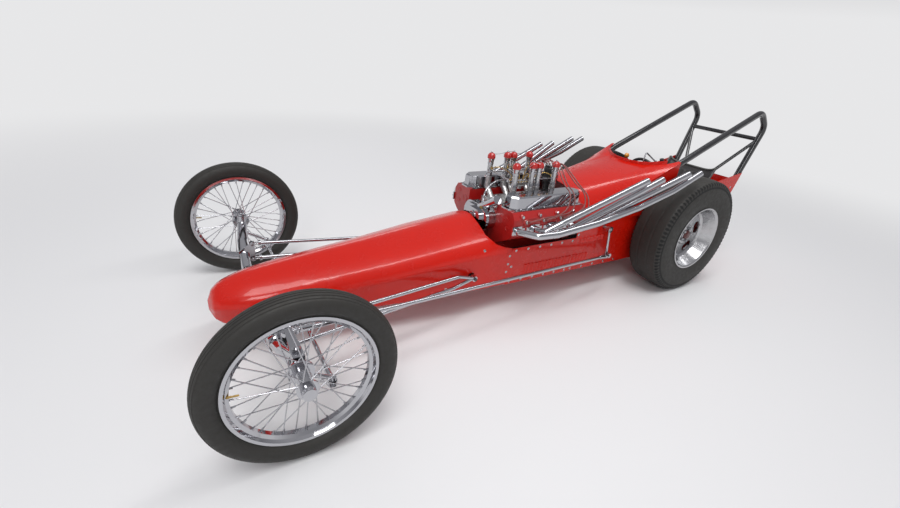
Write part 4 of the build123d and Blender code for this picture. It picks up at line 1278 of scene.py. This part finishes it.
@dataclass
class BodyTrim:
    """Quarter-turn fasteners along the panel edges, with painted shade in their slots.

    Attributes:
        rows: Node, first and last place behind the axle, how many, and their heights.
        dome: Profile of a head.
        slot: Half length, radius and height above the skin of the black bar that paints the shade in its slot.
    """

    rows: tuple[tuple[str, float, float, int, tuple[float, ...]], ...] = (
        ("side_panel", 1224, 1641, 6, (366, 170)), ("side_panel", 1214, 1214, 1, (268,)),
        ("cockpit_side", 1690, 2080, 5, (170,)), ("cockpit_side", 1679, 1679, 1, (205, 400)),
        ("cockpit_side", 2860, 3140, 4, (590,)), ("nose_cowl", 1186, 1186, 1, (190, 240, 290, 340)),
        ("nose_cowl", 1024, 1024, 1, (390,)), ("nose_cowl", 220, 820, 3, (200,)),
    )
    dome: Profile = ((-0.5, 0), (-0.5, 7.6), (0.8, 7.4), (1.6, 5.2), (2.0, 2.4), (2.1, 0))
    slot: Triple = (4.4, 0.8, 1.8)
    slot_way: Spot = (0.35, 0, 1)
    aim_from: float = 500.0

    def build(self) -> None:
        """Find each fastener's place on the skin and set a domed head there, with a black bar that paints the
        shade in its slot.
        """
        heads, slot_shades = Skin(), Skin()
        long, thick, proud = self.slot
        hosts: dict[str, Host] = {}
        spots = [(stem, behind, up) for stem, first, last, count, ups in self.rows
                 for behind in np.linspace(first, last, count) for up in ups]
        for stem, behind, up in spots:
            for side in Side:
                node = stem if stem == "nose_cowl" else f"{stem}_{side.word}"
                hosts.setdefault(node, Host(node))
                found = hosts[node].touch(CAR.spot(behind, side.value * self.aim_from, up),
                                          (0, -side.value, 0))
                if found is None:
                    continue
                place, normal = found
                heads.lathe(self.dome, place, normal, 16)
                line = unit(np.cross(normal, self.slot_way))
                along = np.array((-long, 0, long))[:, None]
                # A black bar across the head: painted shade where the slot is.
                slot_shades.pipe(place + (normal * proud + line * along) / 1000, thick, 6)
        heads.piece("fastener_heads", POLISHED)
        slot_shades.piece("fastener_slot_shade", CAP_BLACK)


@dataclass
class Cockpit:
    """Padded seat in its shell, the shift knob, the hand levers and the wheel's hub.

    Attributes:
        half, thick: Half width and half thickness of a pad.
        pads: Name, middle, the two ends of its slope, half length, and the axis that its soft
            face looks along.
        voxel, cap: Cell of the remesh and largest move in the simulation, in metres.
        roundness: Power that squares the pad's starting shape.
        pleat_depth, pleat_width: Depth and half breadth of a sewn line, in metres.
        side_line: The shell's side, behind and up.
        column: How far ahead of the steering wheel its column's foot is, and how high.
    """

    half: float = 170.0
    thick: float = 12.0
    pads: tuple[tuple[str, Spot, Spot, Spot, float, int], ...] = (
        ("seat_cushion", (2745, 0, 510), (2610, 0, 540), (2860, 0, 512), 118, 2),
        ("seat_back", (2930, 0, 608), (2985, 0, 680), (2892, 0, 520), 78, 0),
    )
    voxel: float = 0.006
    cap: float = 0.012
    frames: int = 20
    pressure: float = 4.0
    roundness: float = 0.35
    pleats: int = 7
    pleat_depth: float = 0.0045
    pleat_width: float = 0.0045
    fill: float = 0.75
    shell_half: float = 182.0
    shell_rise: float = 26.0
    shell_wall: float = 0.003
    side_line: Profile = ((3022, 686), (3000, 640), (2968, 590), (2930, 540), (2905, 506),
                          (2880, 490), (2840, 484), (2760, 486), (2680, 490), (2616, 498))
    edge_radius: float = 6.5
    posts: Profile = ((2790, 120), (2860, 120))
    post_ups: Pair = (462.0, 486.0)
    base: Spot = (2331.0, -60.0, 742.0)
    stem_ups: Pair = (640.0, 758.0)
    base_profile: Profile = ((0, 0), (0, 13), (10, 12), (12, 8), (12, 0))
    ball: float = 16.0
    lever: tuple[Spot, ...] = ((2353, 60, 640), (2353, 60, 796), (2357, 60, 809), (2368, 60, 810),
                               (2483, 60, 750))
    bead_way: Spot = (0.89, 0.0, -0.46)
    bead: float = 9.0
    grip: tuple[Spot, Spot] = ((2466, 124, 738), (2450, 120, 784))
    wheel_up: float = 640.0
    column: Pair = (508.0, 440.0)
    button: Profile = ((7, 0), (7, 17), (10, 16), (13, 9), (14, 0))
    screws: int = 6
    screw_circle: float = 0.021
    screw_seat: float = 0.008

    def cushion(self, name: str, middle: np.ndarray, long: np.ndarray, deep: np.ndarray,
                length: float) -> None:
        """A pad: a rounded box, blown up a little as cloth, with sewn pleats along it.

        The starting shape is a superellipsoid: cosines and sines of two angles, each raised to
        the roundness with its sign kept, times the three half sizes. After the simulation each
        point near the front face sinks by a narrow dip at every pleat line.

        Args:
            name: Name of the piece.
            middle: Middle of the pad, in metres.
            long: Direction of its length.
            deep: Direction out of its soft face.
            length: Half its length.
        """
        u = np.linspace(-np.pi / 2, np.pi / 2, 33)[:, None]
        v = np.linspace(0, 2 * np.pi, 64, endpoint=False)[None]

        def bent(value: np.ndarray) -> np.ndarray:
            """Value to the power of the roundness with its sign kept."""
            return np.sign(value) * np.abs(value) ** self.roundness

        wide, thick = self.half / 1000, self.thick / 1000
        side = np.cross(long, deep)
        a = (bent(np.cos(u)) * bent(np.cos(v)))[..., None] * wide * side
        b = (bent(np.cos(u)) * bent(np.sin(v)))[..., None] * (length / 1000) * long
        c = (bent(np.sin(u)) * np.ones_like(v))[..., None] * thick * deep
        pad = Skin().grid(middle + a + b + c, round_cols=True).piece(name, SEAT_BLACK, soft=70)
        self.inflate(pad)
        places = places_of(pad.data).astype(float)
        away = places - middle
        pitch = 2 * wide / self.pleats
        phase = (away @ side / pitch + 0.5) % 1 - 0.5
        dip = np.exp(-((np.abs(phase) - 0.5) * pitch / self.pleat_width) ** 2)
        front = np.clip(away @ deep / thick, 0, 1)
        places -= (self.pleat_depth * dip * front)[:, None] * deep
        pad.data.vertices.foreach_set("co", places.astype(np.float32).ravel())
        finer = pad.modifiers.new("smooth", "SUBSURF")
        finer.levels = finer.render_levels = 1

    def inflate(self, pad: bpy.types.Object) -> None:
        """Remesh the pad, run the cloth simulation and keep its result within the cap.

        Args:
            pad: The pad's object.
        """
        scene = bpy.context.scene
        mesh_step = pad.modifiers.new("remesh", "REMESH")
        mesh_step.mode, mesh_step.voxel_size = "VOXEL", self.voxel
        with bpy.context.temp_override(object=pad, active_object=pad, selected_objects=[pad]):
            bpy.ops.object.modifier_apply(modifier=mesh_step.name)
        start = places_of(pad.data)
        cloth = pad.modifiers.new("cloth", "CLOTH")
        cloth.settings.use_pressure = True
        cloth.settings.uniform_pressure_force = self.pressure
        cloth.settings.effector_weights.gravity = 0.0
        cloth.settings.quality = 5
        cloth.point_cache.frame_start, cloth.point_cache.frame_end = 1, self.frames
        for number in range(1, self.frames + 1):
            scene.frame_set(number)
        shown = pad.evaluated_get(bpy.context.evaluated_depsgraph_get())
        move = places_of(shown.data) - start
        far = np.linalg.norm(move, axis=1, keepdims=True)
        move *= np.minimum(1, self.cap / np.maximum(far, 1e-9))
        pad.modifiers.remove(cloth)
        pad.data.vertices.foreach_set("co", (start + move).ravel())
        pad.data.update()
        scene.frame_set(1)

    def shell(self) -> None:
        """Seat shell: a bent sheet under and behind the pads, with a rolled light edge.

        The side line runs down the back and along the base, and the sheet is that line carried
        across the seat, rising at the sides by the sixth power of the share across, and given a
        wall by Solidify.
        """
        behind, up = np.array(self.side_line, float).T[:, :, None]
        across = np.linspace(-self.shell_half, self.shell_half, 15)[None]
        rise = self.shell_rise * (across / self.shell_half) ** 6
        rows = np.stack(np.broadcast_arrays(behind, across, up + rise), -1)
        shell = Skin().grid(CAR.spots(rows)).piece("seat_shell", SEAT_BLACK)
        wall = shell.modifiers.new("wall", "SOLIDIFY")
        wall.thickness, wall.offset = self.shell_wall, 0
        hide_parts("seat")
        edge = Skin()
        for line in (rows[:, 0], rows[:, -1], rows[0]):
            edge.pipe(CAR.spots(line), self.edge_radius)
        edge.piece("seat_edge", SEAT_EDGE)
        skin, (foot, top) = Skin(), self.post_ups
        for place, half in self.posts:
            for left in (-half, half):
                skin.rod((place, left, foot), (place, left, top), 9)
        skin.piece("seat_posts", FRAME_BLACK)

    def pad_pair(self) -> None:
        """Lay the two pads, each square to its slope with its soft face forward or up."""
        for name, *ends, length, axis in self.pads:
            middle, high, low = CAR.spots(np.array(ends))
            slope = unit(high - low)
            out = unit(np.cross(slope, (0, 1, 0)))
            self.cushion(name, middle, slope, out if out[axis] > 0 else -out, length)

    def controls(self) -> None:
        """Amber knob on a red base, the hand lever with its bead, and the brake lever's grip."""
        behind, left, up = self.base
        foot, top = self.stem_ups
        Skin().rod((behind, left, foot), (behind, left, top), 5).piece("shift_stem", CHROME)
        Skin().lathe(self.base_profile, CAR.spot(behind, left, up), UP, 24).piece(
            "knob_base", CAP_RED)
        half = arc((0, 6), (self.ball, self.ball), (2 * self.ball, 0), 16)
        Skin().lathe(np.concatenate((((0, 0),), half)), CAR.spot(behind, left, up + 10), UP,
                     28).piece("shift_knob", KNOB_AMBER)
        Skin().pipe(CAR.spots(self.lever), 4.8).piece("hand_lever", CHROME, soft=60)
        end, way = np.array(self.lever[-1]), np.array(self.bead_way) * self.bead
        waist = self.bead * np.sin(np.linspace(0.3, np.pi - 0.3, 9))
        Skin().rod(end - way, end + way, waist, 14).piece("hand_lever_bead", CHROME)
        radius = 12.5 + 1.2 * np.cos(np.linspace(0, 8 * np.pi, 9))
        Skin().rod(*self.grip, radius, 16).piece("brake_grip", CAP_BLACK)

    def wheel_dress(self) -> None:
        """Polished button and small screws on the steering wheel's hub."""
        ahead, foot_up = self.column
        centre = np.array(CAR.spot(CAR.wheelbase, 0, self.wheel_up))
        back = unit(centre - np.array(CAR.spot(CAR.wheelbase - ahead, 0, foot_up)))
        Skin().lathe(self.button, centre, back, 28).piece("wheel_button", CHROME, "steering_wheel")
        across = unit(np.cross(back, SLANT))
        other = np.cross(back, across)
        screws = Skin()
        for turn in np.linspace(0, 2 * np.pi, self.screws, endpoint=False):
            out = math.cos(turn) * across + math.sin(turn) * other
            place = centre + self.screw_circle * out + back * self.screw_seat
            screws.hexagon(place, back, 2.8, 2)
        screws.piece("wheel_screws", STEEL, "steering_wheel", 20)

    def build(self) -> None:
        """Make the seat, then the controls."""
        self.shell()
        self.pad_pair()
        self.controls()
        self.wheel_dress()


# Studio


@dataclass
class Studio:
    """Pale floor that fades into the backdrop, soft lamps and the camera, all in metres.

    Attributes:
        focal_px, photo_width: Focal length and width of the photograph in pixels.
        fade: Distances between which the floor turns into the backdrop.
        rings: Radii of the floor's rings of points.
        lamp_rows: Name, place, width and height, and power of each soft lamp.
    """

    camera_place: Spot = (1.7399, 1.8398, 1.3130)
    look: Spot = (-0.49361, -0.75686, -0.42838)
    up: Spot = (-0.14142, -0.41616, 0.89823)
    focal_px: float = 437.2
    photo_width: int = 900
    sensor_mm: float = 36.0
    clip: Pair = (0.02, 200.0)
    fade: Pair = (2.6, 7.0)
    floor_colour: Colour = (0.78, 0.78, 0.785)
    floor_rough: float = 0.6
    floor_steps: int = 64
    rings: tuple[float, ...] = (0.0, 3.0, 6.0, 12.0, 24.0, 60.0)
    backdrop: Colour = (0.80, 0.80, 0.81)
    sky_middle: Colour = (0.26, 0.26, 0.28)
    sky_top: Colour = (0.44, 0.44, 0.46)
    sky_stops: Triple = (0.10, 0.34, 0.80)
    sun_angle: float = 28.0
    sun_strength: float = 1.15
    sun_way: Spot = (-0.25, -0.30, -1.0)
    lamp_aim: Spot = (0.0, 0.0, 0.3)
    lamp_rows: tuple[tuple[str, Spot, Pair, float], ...] = (
        ("key", (3.2, 3.6, 3.4), (1.2, 1.2), 40.0),
        ("overhead", (-0.2, 0.6, 3.2), (3.8, 0.35), 34.0),
        ("fill", (0.5, -4.5, 2.6), (3.2, 0.8), 20.0),
    )

    def camera(self) -> None:
        """Make the camera from its place, look and up directions."""
        data = bpy.data.cameras.new("camera")
        data.sensor_width = self.sensor_mm
        data.lens = self.focal_px * data.sensor_width / self.photo_width
        data.clip_start, data.clip_end = self.clip
        look, up = Vector(self.look).normalized(), Vector(self.up).normalized()
        right = look.cross(up).normalized()
        turn = Matrix((right, right.cross(look), -look)).transposed()
        cam = linked("camera", data)
        cam.matrix_world = Matrix.Translation(self.camera_place) @ turn.to_4x4()
        bpy.context.scene.camera = cam

    def floor_finish(self) -> bpy.types.Material:
        """Floor paint that turns into the backdrop's plain colour with distance.

        Returns:
            The floor's material.
        """
        made = bpy.data.materials.new("pale_floor")
        made.use_nodes = True
        graph = Graph(made.node_tree)
        place = graph.feed("Object", "ShaderNodeTexCoord")
        far = graph.feed("Value", "ShaderNodeVectorMath", operation="LENGTH", _0=place)
        share = graph.feed("Result", "ShaderNodeMapRange", interpolation_type="SMOOTHSTEP",
                           _Value=far, _From_Min=self.fade[0], _From_Max=self.fade[1])
        paint = graph.feed("BSDF", "ShaderNodeBsdfPrincipled", _Roughness=self.floor_rough,
                           _Base_Color=(*self.floor_colour, 1))
        glow = graph.feed("Emission", "ShaderNodeEmission", _Color=(*self.backdrop, 1),
                          _Strength=1.0)
        mix = graph.feed("Shader", "ShaderNodeMixShader", _0=share, _1=paint, _2=glow)
        graph.node("ShaderNodeOutputMaterial", _Surface=mix)
        return made

    def floor(self) -> None:
        """Lay a round floor: rings of points at growing radii, at evenly spaced angles."""
        angle = np.linspace(0, 2 * np.pi, self.floor_steps, endpoint=False)[None, :]
        radius = np.array(self.rings)[:, None]
        points = np.stack((radius * np.cos(angle), radius * np.sin(angle), 0 * radius * angle), -1)
        skin = Skin().grid(points, round_cols=True)
        mesh = bpy.data.meshes.new("floor")
        mesh.from_pydata(skin.points[0].tolist(), [], skin.faces[0].tolist())
        mesh.materials.append(self.floor_finish())
        linked("floor", mesh)

    def lamps(self) -> None:
        """Hang the soft lamps round the car, and one wide sun lamp for the sky's light."""
        for name, place, size, power in self.lamp_rows:
            data = bpy.data.lights.new(name, "AREA")
            data.shape, data.energy = "RECTANGLE", power
            data.size, data.size_y = size
            lamp = linked(name, data)
            lamp.location = place
            aim = Vector(self.lamp_aim) - Vector(place)
            lamp.rotation_euler = aim.to_track_quat("-Z", "Y").to_euler()
        data = bpy.data.lights.new("sky_light", "SUN")
        data.energy, data.angle = self.sun_strength, math.radians(self.sun_angle)
        lamp = linked("sky_light", data)
        lamp.rotation_euler = Vector(self.sun_way).to_track_quat("-Z", "Y").to_euler()

    def world(self) -> None:
        """Make a world that is pale at the horizon and darker above."""
        world = bpy.data.worlds.new("studio")
        world.use_nodes = True
        graph = Graph(world.node_tree)
        place = graph.feed("Generated", "ShaderNodeTexCoord")
        rise = graph.feed("Z", "ShaderNodeSeparateXYZ", _Vector=place)
        ramp = graph.node("ShaderNodeValToRGB", _Fac=rise)
        low, middle, high = self.sky_stops
        stops = ramp.color_ramp.elements
        stops[0].position, stops[0].color = low, (*self.backdrop, 1)
        stops[1].position, stops[1].color = high, (*self.sky_top, 1)
        stops.new(middle).color = (*self.sky_middle, 1)
        back = graph.feed("Background", "ShaderNodeBackground", _Color=ramp.outputs["Color"],
                          _Strength=1.0)
        graph.node("ShaderNodeOutputWorld", _Surface=back)
        bpy.context.scene.world = world

    def build(self) -> None:
        """Make everything round the car."""
        self.camera()
        self.floor()
        self.lamps()
        self.world()
        bpy.context.scene.view_settings.view_transform = "Standard"


def main() -> None:
    logging.basicConfig(level=logging.INFO, format="%(name)s: %(message)s")
    Studio().build()
    PlugLeads().build()
    dress_nodes(frame["nodes"], frame["record"])
    for side in Side:
        for maker in (RearTyre, FrontTyre, WireWheelTrim, RearWheelTrim):
            maker().build(side)
    SteeringTrim().build()
    EngineDress().build()
    ExhaustSootAndShade().build()
    BodyTrim().build()
    smooth_skin("nose_cowl", "nose_skin", BODY_RED, 38.0)
    Cockpit().build()
    bpy.context.view_layer.update()


if __name__ == "__main__":
    main()
